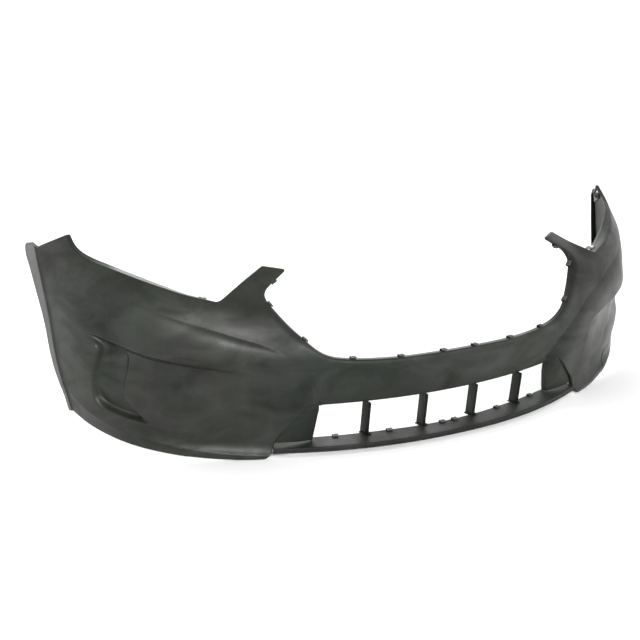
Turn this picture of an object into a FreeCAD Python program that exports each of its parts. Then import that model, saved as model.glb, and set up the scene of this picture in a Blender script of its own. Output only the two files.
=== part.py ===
import FreeCAD, Part
import math, os
from FreeCAD import Vector, Placement, Rotation, Matrix

# Front bumper cover of a full-size sedan, modelled standing as it does on the car.
# Millimetres. +Z up, -Y is the front of the car, the part is symmetric about X = 0.
# The origin is the middle of the footprint, at the height of the lowest edge.

doc = FreeCAD.newDocument("bumper_cover")
sheet = doc.addObject("Spreadsheet::Sheet", "dims")
CELLS = [
    ("frame_dy", 172.34), ("frame_dz", 12.05),
    ("skin_wall", 3.0), ("beam_flange", 22.0), ("grille_flange", 14.0), ("horn_flange", 9.0),
    ("chin_flange", 12.0), ("chin_tongue_flange", 36.0), ("corner_flange", 13.0), ("recess_flange", 14.0),
    ("seam_flange", 11.0), ("arch_flange", 28.0), ("arch_hole_dia", 8.0),
    ("valance_half", 507.0), ("valance_lip", 12.5), ("valance_wall", 3.0), ("valance_back", 9.0),
    ("strut_thick", 4.0), ("strut_depth", 36.0), ("strut_lean", 13.0), ("strut_inner_x", 82.5),
    ("strut_outer_x", 250.5), ("strut_foot_len", 30.0), ("strut_foot_wide", 15.0), ("strut_foot_high", 2.5),
    ("strut_top_gap", 0.4), ("screw_dia", 4.8), ("screw_head_dia", 9.0), ("screw_head_high", 2.2),
    ("clip_wide", 16.0), ("clip_deep", 13.0), ("clip_wall", 1.2), ("clip_rise", 4.8), ("clip_gap", 3.2),
    ("panel_wall", 2.8), ("panel_setback", 8.0), ("panel_gap", 0.8),
    ("rail_thick", 3.0), ("rail_high", 26.0), ("rail_hole_dia", 7.0), ("rivet_dia", 6.0), ("rivet_head_dia", 11.0),
    ("tab_thick", 2.5), ("tab_wide", 20.0), ("tab_long", 26.0), ("tab_hole_dia", 6.5),
]
for row, (alias, value) in enumerate(CELLS, start=1):
    sheet.set("A%d" % row, alias)
    sheet.set("B%d" % row, "%g" % value)
    sheet.setAlias("B%d" % row, alias)
doc.recompute()
def dim(alias):
    return float(sheet.get(alias))

DY, DZ = dim("frame_dy"), dim("frame_dz")
WALL = dim("skin_wall")

# ---- outer surface of the skin: plan curve + offset field D(u, z) -------------------
def spline_coef(x, y):
    n=len(x); u=[0.0]*n; y2=[0.0]*n
    for i in range(1,n-1):
        sig=(x[i]-x[i-1])/(x[i+1]-x[i-1]); p=sig*y2[i-1]+2.0
        y2[i]=(sig-1.0)/p
        u[i]=(y[i+1]-y[i])/(x[i+1]-x[i])-(y[i]-y[i-1])/(x[i]-x[i-1])
        u[i]=(6.0*u[i]/(x[i+1]-x[i-1])-sig*u[i-1])/p
    for i in range(n-2,-1,-1): y2[i]=y2[i]*y2[i+1]+u[i]
    return y2
def spline_eval(x,y,y2,t):
    lo,hi=0,len(x)-1
    while hi-lo>1:
        k=(hi+lo)//2
        if x[k]>t: hi=k
        else: lo=k
    h=x[hi]-x[lo]
    if t<=x[0] or t>=x[-1]:
        if t<=x[0]:
            s=(y[1]-y[0])/h-h*(2*y2[0]+y2[1])/6.0; return y[0]+s*(t-x[0])
        s=(y[-1]-y[-2])/h+h*(2*y2[-1]+y2[-2])/6.0; return y[-1]+s*(t-x[-1])
    a=(x[hi]-t)/h; b=(t-x[lo])/h
    return a*y[lo]+b*y[hi]+((a**3-a)*y2[lo]+(b**3-b)*y2[hi])*h*h/6.0
PLAN=[(0,-113),(100,-109.5),(200,-98.5),(300,-79),(372,-59),(440,-36),(520,-4.5),(600,30),(680,68),(760,113),(820,159),(868,211),(905,268),(932,334),(948,400),(955,460),(957,520),(958,580)]
_P=[(-x,y) for x,y in reversed(PLAN[1:])]+list(PLAN)
_t=[0.0]
for i in range(1,len(_P)): _t.append(_t[-1]+math.hypot(_P[i][0]-_P[i-1][0],_P[i][1]-_P[i-1][1]))
_t=[v-_t[len(PLAN)-1] for v in _t]
_X=[p[0] for p in _P]; _Y=[p[1] for p in _P]
_X2=spline_coef(_t,_X); _Y2=spline_coef(_t,_Y)
def plan(a): return spline_eval(_t,_X,_X2,a), spline_eval(_t,_Y,_Y2,a)
def plan_n(a):
    x0,y0=plan(a-1); x1,y1=plan(a+1); dx,dy=x1-x0,y1-y0; L=math.hypot(dx,dy)
    return dy/L,-dx/L
# band = beam, sill zone and horn; bulge = the full corner body
BAND={0:[(-40,-90),(60,-60),(113,-40),(160,-20),(200,-6),(235,3),(300,0),(420,-60),(600,-240)],
300:[(-40,-90),(60,-60),(113,-40),(160,-20),(200,-6),(235,3),(300,0),(420,-60),(600,-240)],
377:[(-40,-90),(60,-60),(113,-40),(160,-22),(200,-8),(240,0),(253,2),(300,2),(420,-60),(600,-240)],
415:[(-40,-90),(60,-60),(113,-40),(160,-21),(200,-7),(240,3),(260,6),(278,7),(320,-2),(420,-62),(600,-240)],
446:[(-40,-90),(60,-60),(113,-40),(160,-20),(200,-5),(240,5),(260,6),(280,5),(304,-2),(340,-18),(400,-50),(470,-112),(600,-242)],
496:[(-40,-60),(113,-30),(200,6),(240,13),(274,16),(300,7),(320,-3),(340,-12),(361,-23),(400,-46),(440,-82),(470,-110),(600,-240)],
530:[(-40,-40),(113,-15),(200,12),(260,15),(290,14),(310,8),(330,0),(350,-10),(370,-21),(391,-36),(415,-58),(445,-88),(470,-113),(600,-243)],
560:[(-40,-40),(113,-10),(200,10),(280,14),(300,12),(330,2),(350,-7),(370,-18),(385,-29),(400,-43),(415,-58),(455,-98),(600,-243)],
610:[(-40,-40),(113,-10),(200,8),(300,12),(318,10),(340,3),(360,-6),(380,-17),(390,-25),(400,-36),(415,-56),(430,-73),(600,-243)],
656:[(-40,-40),(113,-10),(200,8),(300,11),(333,9),(350,3),(370,-6),(385,-13),(401,-22),(420,-36),(600,-200)],
697:[(-40,-40),(113,-10),(200,6),(320,9),(348,7),(370,-1),(390,-10),(411,-22),(430,-34),(600,-160)],
738:[(-40,-40),(113,-10),(200,6),(330,7),(360,5),(380,-2),(400,-11),(421,-23),(440,-36),(600,-150)],
779:[(-40,-40),(113,-10),(200,6),(340,6),(374,3),(395,-6),(415,-16),(433,-28),(450,-40),(600,-150)],
830:[(-40,-40),(113,-10),(200,6),(350,3),(390,-2),(410,-9),(430,-20),(448,-32),(470,-48),(600,-150)],
892:[(-40,-40),(62,-16),(100,-8),(139,0),(187,8),(243,12),(275,12),(316,8),(378,0),(405,-6),(425,-12),(445,-23),(463,-36),(480,-49),(600,-150)],
980:[(-40,-40),(60,-13),(100,-8),(150,0),(200,6),(260,9),(300,8),(350,3),(400,-4),(440,-13),(465,-25),(485,-38),(500,-49),(600,-130)],
1060:[(-40,-16),(77,-8),(130,-5),(200,0),(260,4),(300,4),(350,2),(400,-3),(450,-12),(490,-22),(512,-31),(600,-80)],
1110:[(-40,-12),(77,-8),(130,-7),(200,-1),(300,2),(350,1),(400,-1),(450,-7),(490,-16),(520,-26),(547,-39),(600,-66)],
1155:[(-40,-12),(77,-8),(130,-7),(217,-1),(325,1),(400,3),(450,2),(490,-3),(515,-10),(560,-26),(600,-40)],
1200:[(-40,-12),(77,-8),(130,-7),(217,-1),(325,2),(415,8),(460,11),(506,13),(540,9),(600,0)],
1290:[(-40,-12),(77,-8),(130,-7),(217,-1),(325,2),(415,8),(460,11),(506,13),(540,14),(600,14)]}
BULGE={400:[(-40,-16),(27,-14),(60,-13),(113,-7),(160,0),(200,5),(240,10),(274,12),(300,8),(340,-10),(600,-240)],
446:[(-40,-14),(27,-13),(60,-12),(113,-6),(160,2),(200,8),(240,13),(274,15),(300,10),(340,-8),(600,-240)],
496:[(-40,-14),(27,-13),(60,-12),(113,-5),(160,4),(200,12),(240,19),(274,21),(300,18),(340,0),(600,-240)],
542:[(-40,-12),(30,-11),(60,-9),(113,-1),(160,8),(200,15),(240,21),(270,24),(296,23),(340,8),(420,-50),(600,-230)],
590:[(-40,-12),(30,-9),(60,-6),(113,2),(160,10),(200,17),(240,23),(262,25),(290,25),(312,22),(350,8),(420,-40),(600,-200)],
686:[(-40,-14),(30,-10),(60,-6),(113,4),(160,13),(200,20),(230,24),(262,26),(300,25),(344,17),(380,2),(430,-28),(600,-160)],
781:[(-40,-16),(30,-12),(60,-8),(113,1),(160,10),(200,16),(250,21),(270,22),(300,21),(340,16),(374,9),(410,-8),(450,-32),(600,-150)],
892:[(-40,-24),(30,-18),(62,-15),(100,-8),(139,0),(187,8),(243,13),(275,13),(316,8),(378,0),(405,-6),(425,-12),(445,-23),(463,-36),(480,-49),(600,-150)],
980:None,1060:None,1110:None,1155:None,1200:None,1290:None}
for k in list(BULGE):
    if BULGE[k] is None: BULGE[k]=BAND[k]
GU,GZ,Z0=20.0,10.0,-60.0
NU,NZ=70,70
def _pchip(pts,z):
    xs=[p[0] for p in pts]; ys=[p[1] for p in pts]; n=len(xs)
    if z<=xs[0]: return ys[0]+(ys[1]-ys[0])/(xs[1]-xs[0])*(z-xs[0])
    if z>=xs[-1]: return ys[-1]+(ys[-1]-ys[-2])/(xs[-1]-xs[-2])*(z-xs[-1])
    hh=[xs[i+1]-xs[i] for i in range(n-1)]; dd=[(ys[i+1]-ys[i])/hh[i] for i in range(n-1)]
    def m(i):
        if i==0: return dd[0]
        if i==n-1: return dd[-1]
        return (dd[i-1]*hh[i]+dd[i]*hh[i-1])/(hh[i]+hh[i-1])
    for i in range(n-1):
        if xs[i]<=z<=xs[i+1]:
            s=(z-xs[i])/hh[i]; m0,m1=m(i)*hh[i],m(i+1)*hh[i]
            return ys[i]*(2*s**3-3*s*s+1)+m0*(s**3-2*s*s+s)+ys[i+1]*(3*s*s-2*s**3)+m1*(s**3-s*s)
def _grid(tab):
    us=sorted(tab); G=[[0.0]*NZ for _ in range(NU)]
    for j in range(NZ):
        z=Z0+GZ*j
        col=[(u,_pchip(tab[u],z)) for u in us]
        for i in range(NU): 
            u=max(abs((i-2)*GU),us[0]) if us[0]>0 else abs((i-2)*GU)
            G[i][j]=_pchip(col,u) if u<us[-1] else col[-1][1]
    for _ in range(2):
        H=[r[:] for r in G]
        for i in range(1,NU-1):
            for j in range(NZ): H[i][j]=0.25*G[i-1][j]+0.5*G[i][j]+0.25*G[i+1][j]
        G=[r[:] for r in H]
    return G
_GB=_grid(BAND); _GC=_grid(BULGE)
def _bs(t): return ((1-t)**3/6,(3*t**3-6*t*t+4)/6,(-3*t**3+3*t*t+3*t+1)/6,t**3/6)
def _ev(G,u,z):
    fu=u/GU+2; fz=(z-Z0)/GZ
    i=min(max(int(fu),1),NU-3); j=min(max(int(fz),1),NZ-3)
    bu=_bs(fu-i); bz=_bs(fz-j); r=0.0
    for p in range(4):
        g=G[i-1+p]; r+=bu[p]*(bz[0]*g[j-1]+bz[1]*g[j]+bz[2]*g[j+1]+bz[3]*g[j+2])
    return r
def seg_dist(line,u,z):
    """distance to a polyline, and its side: + on the left of its direction"""
    best=1e18; side=1.0
    for (x0,y0),(x1,y1) in zip(line,line[1:]):
        dx,dy=x1-x0,y1-y0; L2=dx*dx+dy*dy
        t=((u-x0)*dx+(z-y0)*dy)/L2; t=0.0 if t<0 else 1.0 if t>1 else t
        ex,ey=u-x0-t*dx,z-y0-t*dy; d=ex*ex+ey*ey
        if d<best-1e-9: best=d; side=1.0 if dx*(z-y0)-dy*(u-x0)>=0 else -1.0
    return math.sqrt(best)*side
def ss(t): t=0.0 if t<0 else 1.0 if t>1 else t; return t*t*(3-2*t)
def lerp(tab,u):
    if u<=tab[0][0]: return tab[0][1]
    for (a,b),(c,d) in zip(tab,tab[1:]):
        if u<=c: return b+(d-b)*(u-a)/(c-a)
    return tab[-1][1]
def smooth(line,n=8):
    """Catmull-Rom through the points"""
    out=[]
    for i in range(len(line)-1):
        p0=line[max(i-1,0)]; p1=line[i]; p2=line[i+1]; p3=line[min(i+2,len(line)-1)]
        for k in range(n):
            t=k/n
            out.append(tuple(0.5*((2*p1[c])+(-p0[c]+p2[c])*t+(2*p0[c]-5*p1[c]+4*p2[c]-p3[c])*t*t+(-p0[c]+3*p1[c]-3*p2[c]+p3[c])*t**3) for c in (0,1)))
    out.append(line[-1]); return out
CREASE=smooth([(378,60),(388,113),(402,150),(428,195),(455,232),(478,256),(500,276),(542,296),(590,312),(638,328),(686,344),(734,359),(781,374),(830,390),(880,405),(930,418),(1000,438),(1300,520)],3)
def base(u,z):
    b=_ev(_GB,u,z)
    if u<370: return b
    c=_ev(_GC,u,z)
    d=-seg_dist(CREASE,u,z)
    if d<=0: return b
    lam=16.0 if u>520 else 16.0+10*ss((520-u)/60)
    w=1-math.exp(-d/lam)
    return b+(c-b)*w
# ---- feature lines (u, z) -----------------------------------------------------------
SILL=[(657,401),(697,411),(738,421),(779,433),(821,445),(865,457),(912,469),(962,481),(1014,494),(1057,510),(1083,525),(1110,547)]
ARCH=[(1101,40),(1102,77),(1110,130),(1135,217),(1156,325),(1177,415),(1197,506),(1208,560)]
LIPW=[(60,8),(100,9),(300,14),(492,21),(560,22)]
LEDGE_T=smooth([(540,212),(600,232),(647,243),(741,263),(811,276),(865,291),(905,301),(942,309),(985,318),(1040,330)],3)
LEDGE_B=smooth([(540,206),(600,221),(641,230),(713,237),(775,245),(850,259),(903,279),(942,296),(985,312),(1040,330)],3)
LSTEP=[(560,0),(600,3),(647,9),(713,16),(775,21),(850,24),(905,24),(945,20),(975,9),(1000,0)]
SCOOP_L=smooth([(1010,325),(975,300),(962,276),(978,217),(986,184),(988,151),(980,134),(959,117),(911,101),(842,88),(800,80),(760,74)],4)
PANEL_E=smooth([(880,300),(886,246),(893,207),(900,171),(897,154),(877,124),(842,93),(800,80)],4)
CHIN_C=smooth([(500,-6),(542,-2),(640,7),(737,21),(806,34),(866,48),(917,62),(960,76),(1010,96),(1060,120),(1120,150)],3)
CHIN_F=[(480,4),(520,9),(545,11),(650,12),(750,10),(850,7),(950,4),(1020,1),(1060,0)]
def zline(line,u):
    return lerp(line,u)
def D(u,z):
    d=base(u,z)
    # ledge under the bulge, its step fading down into the lower corner
    if 560<u<1005:
        zt,zb=zline(LEDGE_T,u),zline(LEDGE_B,u); s=lerp(LSTEP,u)
        k=ss((zt-z)/max(zt-zb,3.0))
        if k>0 and s>0:
            low=1-0.92*ss((zb-25-z)/115.0)
            side=ss(0.5+(-seg_dist(SCOOP_L,u,z))/12.0) if u>740 and z<330 else 1.0
            d-=s*k*low*side
    # blind pocket at the rear end of the recessed panel
    if 760<u<1000 and 60<z<320:
        sl=-seg_dist(SCOOP_L,u,z); sp=seg_dist(PANEL_E,u,z)
        if sl>-6 and sp>-6:
            zt=zline(LEDGE_B,u)
            p=ss((sl+5)/14.0)*ss((sp+3)/13.0)*(1-ss((z-zt+18)/22.0))
            deep=9+11*ss((215-z)/95.0)
            d-=p*deep
    # chin: short flare to its crease, turned under below it
    if u>470 and z<170:
        zc=zline(CHIN_C,u); f=lerp(CHIN_F,u)
        if z>=zc: d+=f*max(0.0,1-(z-zc)/30.0)**2
        else: d+=f-0.16*(zc-z)
    # wheel-arch lip, flared outward past the fold
    if u>1060:
        af=0.0; zz=z
        af=lerp([(q[1],q[0]) for q in ARCH],zz)
        if u>af-3: 
            x=u-af; d+=0.5*(x+math.sqrt(x*x+4.0))*0.95-0.0
    return d
# grille-opening edge (u, z) and its rolled border
GRILLE=smooth([(0,236),(80,236),(160,236.5),(240,239),(300,242.5),(350,248),(379,256),(408,273),(446,306),(476,333),(510,369),(530,393),(535,404),(534,413),(525,424),(500,442),(472,461)],3)
def roll(u,z):
    """inward roll of the border next to the grille opening"""
    if u>600 or z<190: return 0.0
    g=seg_dist(GRILLE,u,z); g=abs(g)
    R=17.0 if z<400 else 17.0-9.0*ss((z-400)/30.0)
    if g>=R: return 0.0
    t=1-g/R
    return 9.0*(1-math.sqrt(max(0.0,1-t*t)))*(R/17.0)
def Dsurf(u,z): return D(u,z)-roll(u,z)
def P(a,z,off=0.0,d=None):
    x,y=plan(a); nx,ny=plan_n(a); o=(Dsurf(abs(a),z) if d is None else d)+off
    return (x+nx*o,y+ny*o,z)

# The tables above give y and z from the lower corner of the valance; the row frame's
# origin is lower and further back, so every point is shifted once, here.
def V(p): return Vector(p[0], p[1] - DY, p[2] + DZ)
def unit(v):
    L = math.sqrt(sum(c * c for c in v)) or 1.0
    return tuple(c / L for c in v)
def skin_point(a, z): return P(a, z)
def skin_normal(a, z):
    e = 1.5
    p0, p1 = P(a - e, z), P(a + e, z); q0, q1 = P(a, z - e), P(a, z + e)
    u = [p1[i] - p0[i] for i in range(3)]; v = [q1[i] - q0[i] for i in range(3)]
    n = (u[1] * v[2] - u[2] * v[1], u[2] * v[0] - u[0] * v[2], u[0] * v[1] - u[1] * v[0])
    return unit(n)

# ---- uniform cubic B-spline through a grid of points --------------------------------
def uniform_solve(vals):
    """control values of a uniform cubic B-spline through vals, natural ends"""
    n = len(vals)
    if n < 3: return list(vals)
    a = [0.0] * n; c = [0.0] * n; d = [0.0] * n
    rhs = list(vals); lo = [1.0 / 6] * n; di = [4.0 / 6] * n; up = [1.0 / 6] * n
    di[0] = di[-1] = 1.0; up[0] = 0.0; lo[-1] = 0.0; lo[0] = 0.0; up[-1] = 0.0
    for i in range(1, n):
        w = lo[i] / di[i - 1]; di[i] -= w * up[i - 1]; rhs[i] -= w * rhs[i - 1]
    x = [0.0] * n; x[-1] = rhs[-1] / di[-1]
    for i in range(n - 2, -1, -1): x[i] = (rhs[i] - up[i] * x[i + 1]) / di[i]
    return [2 * x[0] - x[1]] + x + [2 * x[-1] - x[-2]]
def grid_surface(grid):
    """B-spline surface through grid[i][j] on uniform parameters i, j"""
    nu, nv = len(grid), len(grid[0])
    cols = []
    for i in range(nu):
        cols.append([uniform_solve([grid[i][j][k] for j in range(nv)]) for k in range(3)])
    poles = [[None] * (nv + 2) for _ in range(nu + 2)]
    for j in range(nv + 2):
        comp = [uniform_solve([cols[i][k][j] for i in range(nu)]) for k in range(3)]
        for i in range(nu + 2): poles[i][j] = Vector(comp[0][i], comp[1][i], comp[2][i])
    def knots(n): return [float(k) for k in range(-3, n + 3)], [1] * (n + 6)
    ku, mu = knots(nu); kv, mv = knots(nv)
    s = Part.BSplineSurface()
    s.buildFromPolesMultsKnots(poles, mu, mv, ku, kv, False, False, 3, 3)
    return s

# ---- skin: one moulding, trimmed on its outer and inner surfaces --------------------
A_LOW, A_HIGH, A_STEP = -1248.0, 1248.0, 10.4
Z_LOW, Z_HIGH, Z_STEP = -30.0, 570.0, 7.5
N_A = int(round((A_HIGH - A_LOW) / A_STEP)) + 1
N_Z = int(round((Z_HIGH - Z_LOW) / Z_STEP)) + 1
grid_out = [[None] * N_Z for _ in range(N_A)]
grid_in = [[None] * N_Z for _ in range(N_A)]
for i in range(N_A):
    for j in range(N_Z):
        grid_out[i][j] = P(A_LOW + A_STEP * i, Z_LOW + Z_STEP * j)
for i in range(N_A):
    for j in range(N_Z):
        i0, i1, j0, j1 = max(i - 1, 0), min(i + 1, N_A - 1), max(j - 1, 0), min(j + 1, N_Z - 1)
        u = [grid_out[i1][j][k] - grid_out[i0][j][k] for k in range(3)]
        v = [grid_out[i][j1][k] - grid_out[i][j0][k] for k in range(3)]
        n = unit((u[1] * v[2] - u[2] * v[1], u[2] * v[0] - u[0] * v[2], u[0] * v[1] - u[1] * v[0]))
        grid_in[i][j] = V([grid_out[i][j][k] - WALL * n[k] for k in range(3)])
for i in range(N_A):
    for j in range(N_Z): grid_out[i][j] = V(grid_out[i][j])
surf_out, surf_in = grid_surface(grid_out), grid_surface(grid_in)
def param(a, z): return FreeCAD.Base.Vector2d((a - A_LOW) / A_STEP, (z - Z_LOW) / Z_STEP)

# edge loop of the right half, from the middle of the grille opening round to the
# middle of the beam's lower edge: (name, [(a, z)], [(fraction, flange width, flange rise)])
def arch_lip(z):
    return lerp([(q[1], q[0]) for q in ARCH], z) + lerp(LIPW, z)
SEG = [
    ("grille", GRILLE[:], [(0, "grille_flange", 0), (0.8, "grille_flange", 0), (1, "horn_flange", 0)]),
    ("horn_tip", [(472, 461), (505, 465.5), (538, 470)], [(0, "horn_flange", 0), (1, "horn_flange", 0)]),
    ("horn_outer", [(538, 470), (572, 449.5), (606, 429), (640, 408.5)], [(0, "horn_flange", 0), (0.8, "horn_flange", -2), (1, 14.0, -4)]),
    ("notch", [(640, 408.5), (645.5, 405.2), (652, 402.6), (659, 402.0), (668, 403.6)], [(0, 14.0, -4), (1, 28.0, -6)]),
    ("sill", [(668, 403.6)] + SILL[1:], [(0, 28.0, -6), (0.1, 38.0, -7), (0.2, 38.0, -6.5), (0.3, 34.0, -4), (0.42, 30.0, -2), (0.55, 23.0, 0), (0.66, 16.5, 3), (0.78, 13.5, 3), (0.9, 12.0, 1), (1, "seam_flange", 0)]),
    ("seam", [(1110, 547), (1140, 533.5), (1170, 519.5), (1197, 506)], [(0, "seam_flange", 0), (1, "seam_flange", 0)]),
    ("lip_top", [(1197, 506), (1207, 514), (1218, 523)], [(0, "seam_flange", 0), (1, 16.0, 0)]),
    ("lip", [(1218, 523)] + [(arch_lip(z), z) for z in (490, 460, 415, 370, 325, 270, 217, 170, 130, 100)] + [(1111, 77)], [(0, 16.0, 0), (0.06, "arch_flange", 0), (0.9, "arch_flange", 0), (1, 16.0, 0)]),
    ("lip_foot", [(1111, 77), (1107, 77), (1102, 77.5)], [(0, 16.0, 0), (1, "chin_flange", 0)]),
    ("chin", [(1102, 77.5), (1080, 72), (1052, 63), (1020, 53.5), (999, 47), (970, 38.5), (942, 31), (900, 23), (866, 17.5), (813, 10), (775, 4.5), (737, -0.5), (690, -5.5), (640, -9), (600, -11), (566, -12), (549, -12)], [(0, "chin_flange", 0), (0.86, "chin_flange", 0), (0.9, "chin_tongue_flange", 0), (0.97, "chin_tongue_flange", 0), (1, "corner_flange", 0)]),
    ("corner", [(549, -12), (541, -10), (534, -5), (528, 3), (523, 14), (519, 27)], [(0, "corner_flange", 0), (1, "recess_flange", 0)]),
    ("recess_diag", [(519, 27), (507, 46), (482, 71), (452, 101), (424, 124)], [(0, "recess_flange", 0), (1, "recess_flange", 0)]),
    ("recess_top", [(424, 124), (415, 122.5), (403, 118.5), (392, 114)], [(0, "recess_flange", 0), (1, "beam_flange", 0)]),
    ("beam", [(392, 114), (300, 114), (200, 113.5), (100, 113), (0, 113)], [(0, "beam_flange", 0), (1, "beam_flange", 0)]),
]
def resample(pts, n):
    L = [0.0]
    for p, q in zip(pts, pts[1:]): L.append(L[-1] + math.hypot(q[0] - p[0], q[1] - p[1]))
    xs, ys = [p[0] for p in pts], [p[1] for p in pts]
    if len(pts) > 3:
        x2, y2 = spline_coef(L, xs), spline_coef(L, ys)
        f = lambda t: (spline_eval(L, xs, x2, t), spline_eval(L, ys, y2, t))
    else:
        f = lambda t: (lerp(list(zip(L, xs)), t), lerp(list(zip(L, ys)), t))
    return [f(L[-1] * k / (n - 1)) for k in range(n)]
loop = []          # (name, points, widths, rises), right half then mirrored left half
for name, pts, table in SEG:
    length = sum(math.hypot(q[0] - p[0], q[1] - p[1]) for p, q in zip(pts, pts[1:]))
    n = 2 if name in ("horn_tip", "lip_top", "lip_foot") else max(5, min(60, int(length / 14) + 3))
    rs = resample(pts, n)
    tw = [(f, dim(w) if isinstance(w, str) else w) for f, w, r in table]
    tr = [(f, r) for f, w, r in table]
    loop.append((name + "_r", rs, [lerp(tw, k / (n - 1)) for k in range(n)], [lerp(tr, k / (n - 1)) for k in range(n)]))
mirrored = [(nm[:-2] + "_l", [(-a, z) for a, z in reversed(ps)], ws[::-1], rz[::-1]) for nm, ps, ws, rz in reversed(loop)]
loop = loop + mirrored
# inward offset of the loop by the wall thickness; the loop runs clockwise in (a, z)
def tangent(pts, k):
    p, q = pts[max(k - 1, 0)], pts[min(k + 1, len(pts) - 1)]
    L = math.hypot(q[0] - p[0], q[1] - p[1]); return (q[0] - p[0]) / L, (q[1] - p[1]) / L
def inset_points(t):
    out = []
    m = len(loop)
    for s in range(m):
        pts = loop[s][1]; row = []
        for k in range(len(pts)):
            tx, tz = tangent(pts, k); nx, nz = tz, -tx       # right-hand side of travel = into the skin
            scale = 1.0
            if k == 0 or k == len(pts) - 1:
                other = loop[(s - 1) % m][1] if k == 0 else loop[(s + 1) % m][1]
                ox, oz = tangent(other, len(other) - 1 if k == 0 else 0)
                bx, bz = nx + oz, nz - ox; L = math.hypot(bx, bz); bx, bz = bx / L, bz / L
                c = bx * nx + bz * nz; nx, nz, scale = bx, bz, min(1.0 / max(c, 0.3), 2.5)
            row.append((pts[k][0] + nx * t * scale, pts[k][1] + nz * t * scale))
        out.append(row)
    return out
inset = inset_points(WALL)
def at_depth(a, z, depth, rise):
    x, y = plan(a); nx, ny = plan_n(a)
    return V((x + nx * depth, y + ny * depth, z + rise))
def spline_edge(points):
    c = Part.BSplineCurve(); c.interpolate(points); return c.toShape()
def surface_edge(pts, surface):
    c = Part.Geom2d.BSplineCurve2d(); c.interpolate([param(a, z) for a, z in pts]); return c.toShape(surface)
edges_out, edges_in, faces = [], [], []
for (name, pts, ws, rz), ins in zip(loop, inset):
    eo, ei = surface_edge(pts, surf_out), surface_edge(ins, surf_in)
    depth = [Dsurf(abs(a), z) for a, z in pts]
    f1 = spline_edge([at_depth(a, z, d - w, r) for (a, z), d, w, r in zip(pts, depth, ws, rz)])
    f2 = spline_edge([at_depth(a, z, d - w, r) for (a, z), d, w, r in zip(ins, depth, ws, rz)])
    edges_out.append(eo); edges_in.append(ei)
    faces += [Part.makeRuledSurface(eo, f1), Part.makeRuledSurface(f1, f2), Part.makeRuledSurface(f2, ei)]
face_out = Part.Face(surf_out, Part.Wire(edges_out))
face_in = Part.Face(surf_in, Part.Wire(edges_in))
shell = Part.makeShell([face_out, face_in] + faces)
shell.sewShape(0.05)
skin_solid = Part.Solid(shell) if shell.ShapeType == "Shell" else Part.Solid(shell.Shells[0])
if skin_solid.Volume < 0: skin_solid.reverse()

# ---- helpers for the smaller pieces -------------------------------------------------
def role(body, name):
    return [f for f in body.Origin.OriginFeatures if f.Role == name][0]
def polygon_sketch(body, name, plane, points):
    """closed polygon; every corner is held from the sketch origin by two dimensions,
    each a number or an expression of the sheet"""
    sk = body.newObject("Sketcher::SketchObject", name)
    sk.AttachmentSupport = [(role(body, plane), "")]
    sk.MapMode = "FlatFace"
    value = lambda e: float(e) if not isinstance(e, str) else float(eval_dims(e))
    pts = [Vector(value(x), value(y), 0) for x, y in points]
    n = len(pts)
    for k in range(n): sk.addGeometry(Part.LineSegment(pts[k], pts[(k + 1) % n]), False)
    import Sketcher
    for k in range(n): sk.addConstraint(Sketcher.Constraint("Coincident", k, 2, (k + 1) % n, 1))
    for k, (x, y) in enumerate(points):
        for kind, e, v in (("DistanceX", x, pts[k].x), ("DistanceY", y, pts[k].y)):
            c = sk.addConstraint(Sketcher.Constraint(kind, -1, 1, k, 1, v))
            if isinstance(e, str): sk.setExpression("Constraints[%d]" % c, e)
    return sk
def eval_dims(expression):
    """value of a sum or product of sheet entries, used for a sketch's first shape"""
    total = 0.0
    for term in expression.replace("-", "+-").split("+"):
        term = term.strip()
        if not term: continue
        sign = -1.0 if term.startswith("-") else 1.0
        prod = 1.0
        for f in term.lstrip("-").split("*"):
            f = f.strip(); prod *= dim(f.split(".")[1]) if f.startswith("dims.") else float(f)
        total += sign * prod
    return total
def pad_body(label, plane, points, length, midplane=True):
    body = doc.addObject("PartDesign::Body", label)
    sk = polygon_sketch(body, label + "_profile", plane, points)
    pad = body.newObject("PartDesign::Pad", label + "_pad")
    pad.Profile = sk
    pad.Length = eval_dims(length)
    pad.setExpression("Length", length)
    try: pad.SideType = "Symmetric" if midplane else "One side"
    except Exception: pad.Midplane = midplane
    body.Tip = pad
    return body
def frame_placement(origin, x_dir, y_dir):
    x = Vector(*unit(x_dir)); y = Vector(*y_dir); y = y - x * x.dot(y); y.normalize(); z = x.cross(y)
    m = Matrix(x.x, y.x, z.x, origin.x, x.y, y.y, z.y, origin.y, x.z, y.z, z.z, origin.z, 0, 0, 0, 1)
    return Placement(m)
def placed(shape, placement):
    s = shape.copy(); s.Placement = placement.multiply(s.Placement); return s
def group_feature(label, shapes):
    f = doc.addObject("Part::Feature", label); f.Shape = Part.Compound(shapes); f.Label = label; return f
def edge_frame(seg_name, fraction, lift=0.0):
    """frame on the skin's edge: X along the edge, Y into the car, Z away from the skin"""
    name, pts, ws, rz = [l for l in loop if l[0] == seg_name][0]
    k = fraction * (len(pts) - 1); i = min(int(k), len(pts) - 2); f = k - i
    a = pts[i][0] + (pts[i + 1][0] - pts[i][0]) * f; z = pts[i][1] + (pts[i + 1][1] - pts[i][1]) * f
    p = V(P(a, z)); q0 = V(P(*pts[i])); q1 = V(P(*pts[i + 1])); t = q1 - q0
    nx, ny = plan_n(a); y = Vector(-nx, -ny, 0)
    t = t - y * y.dot(t); t.normalize()
    return frame_placement(p + t.cross(y) * lift, (t.x, t.y, t.z), (y.x, y.y, y.z))
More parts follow.
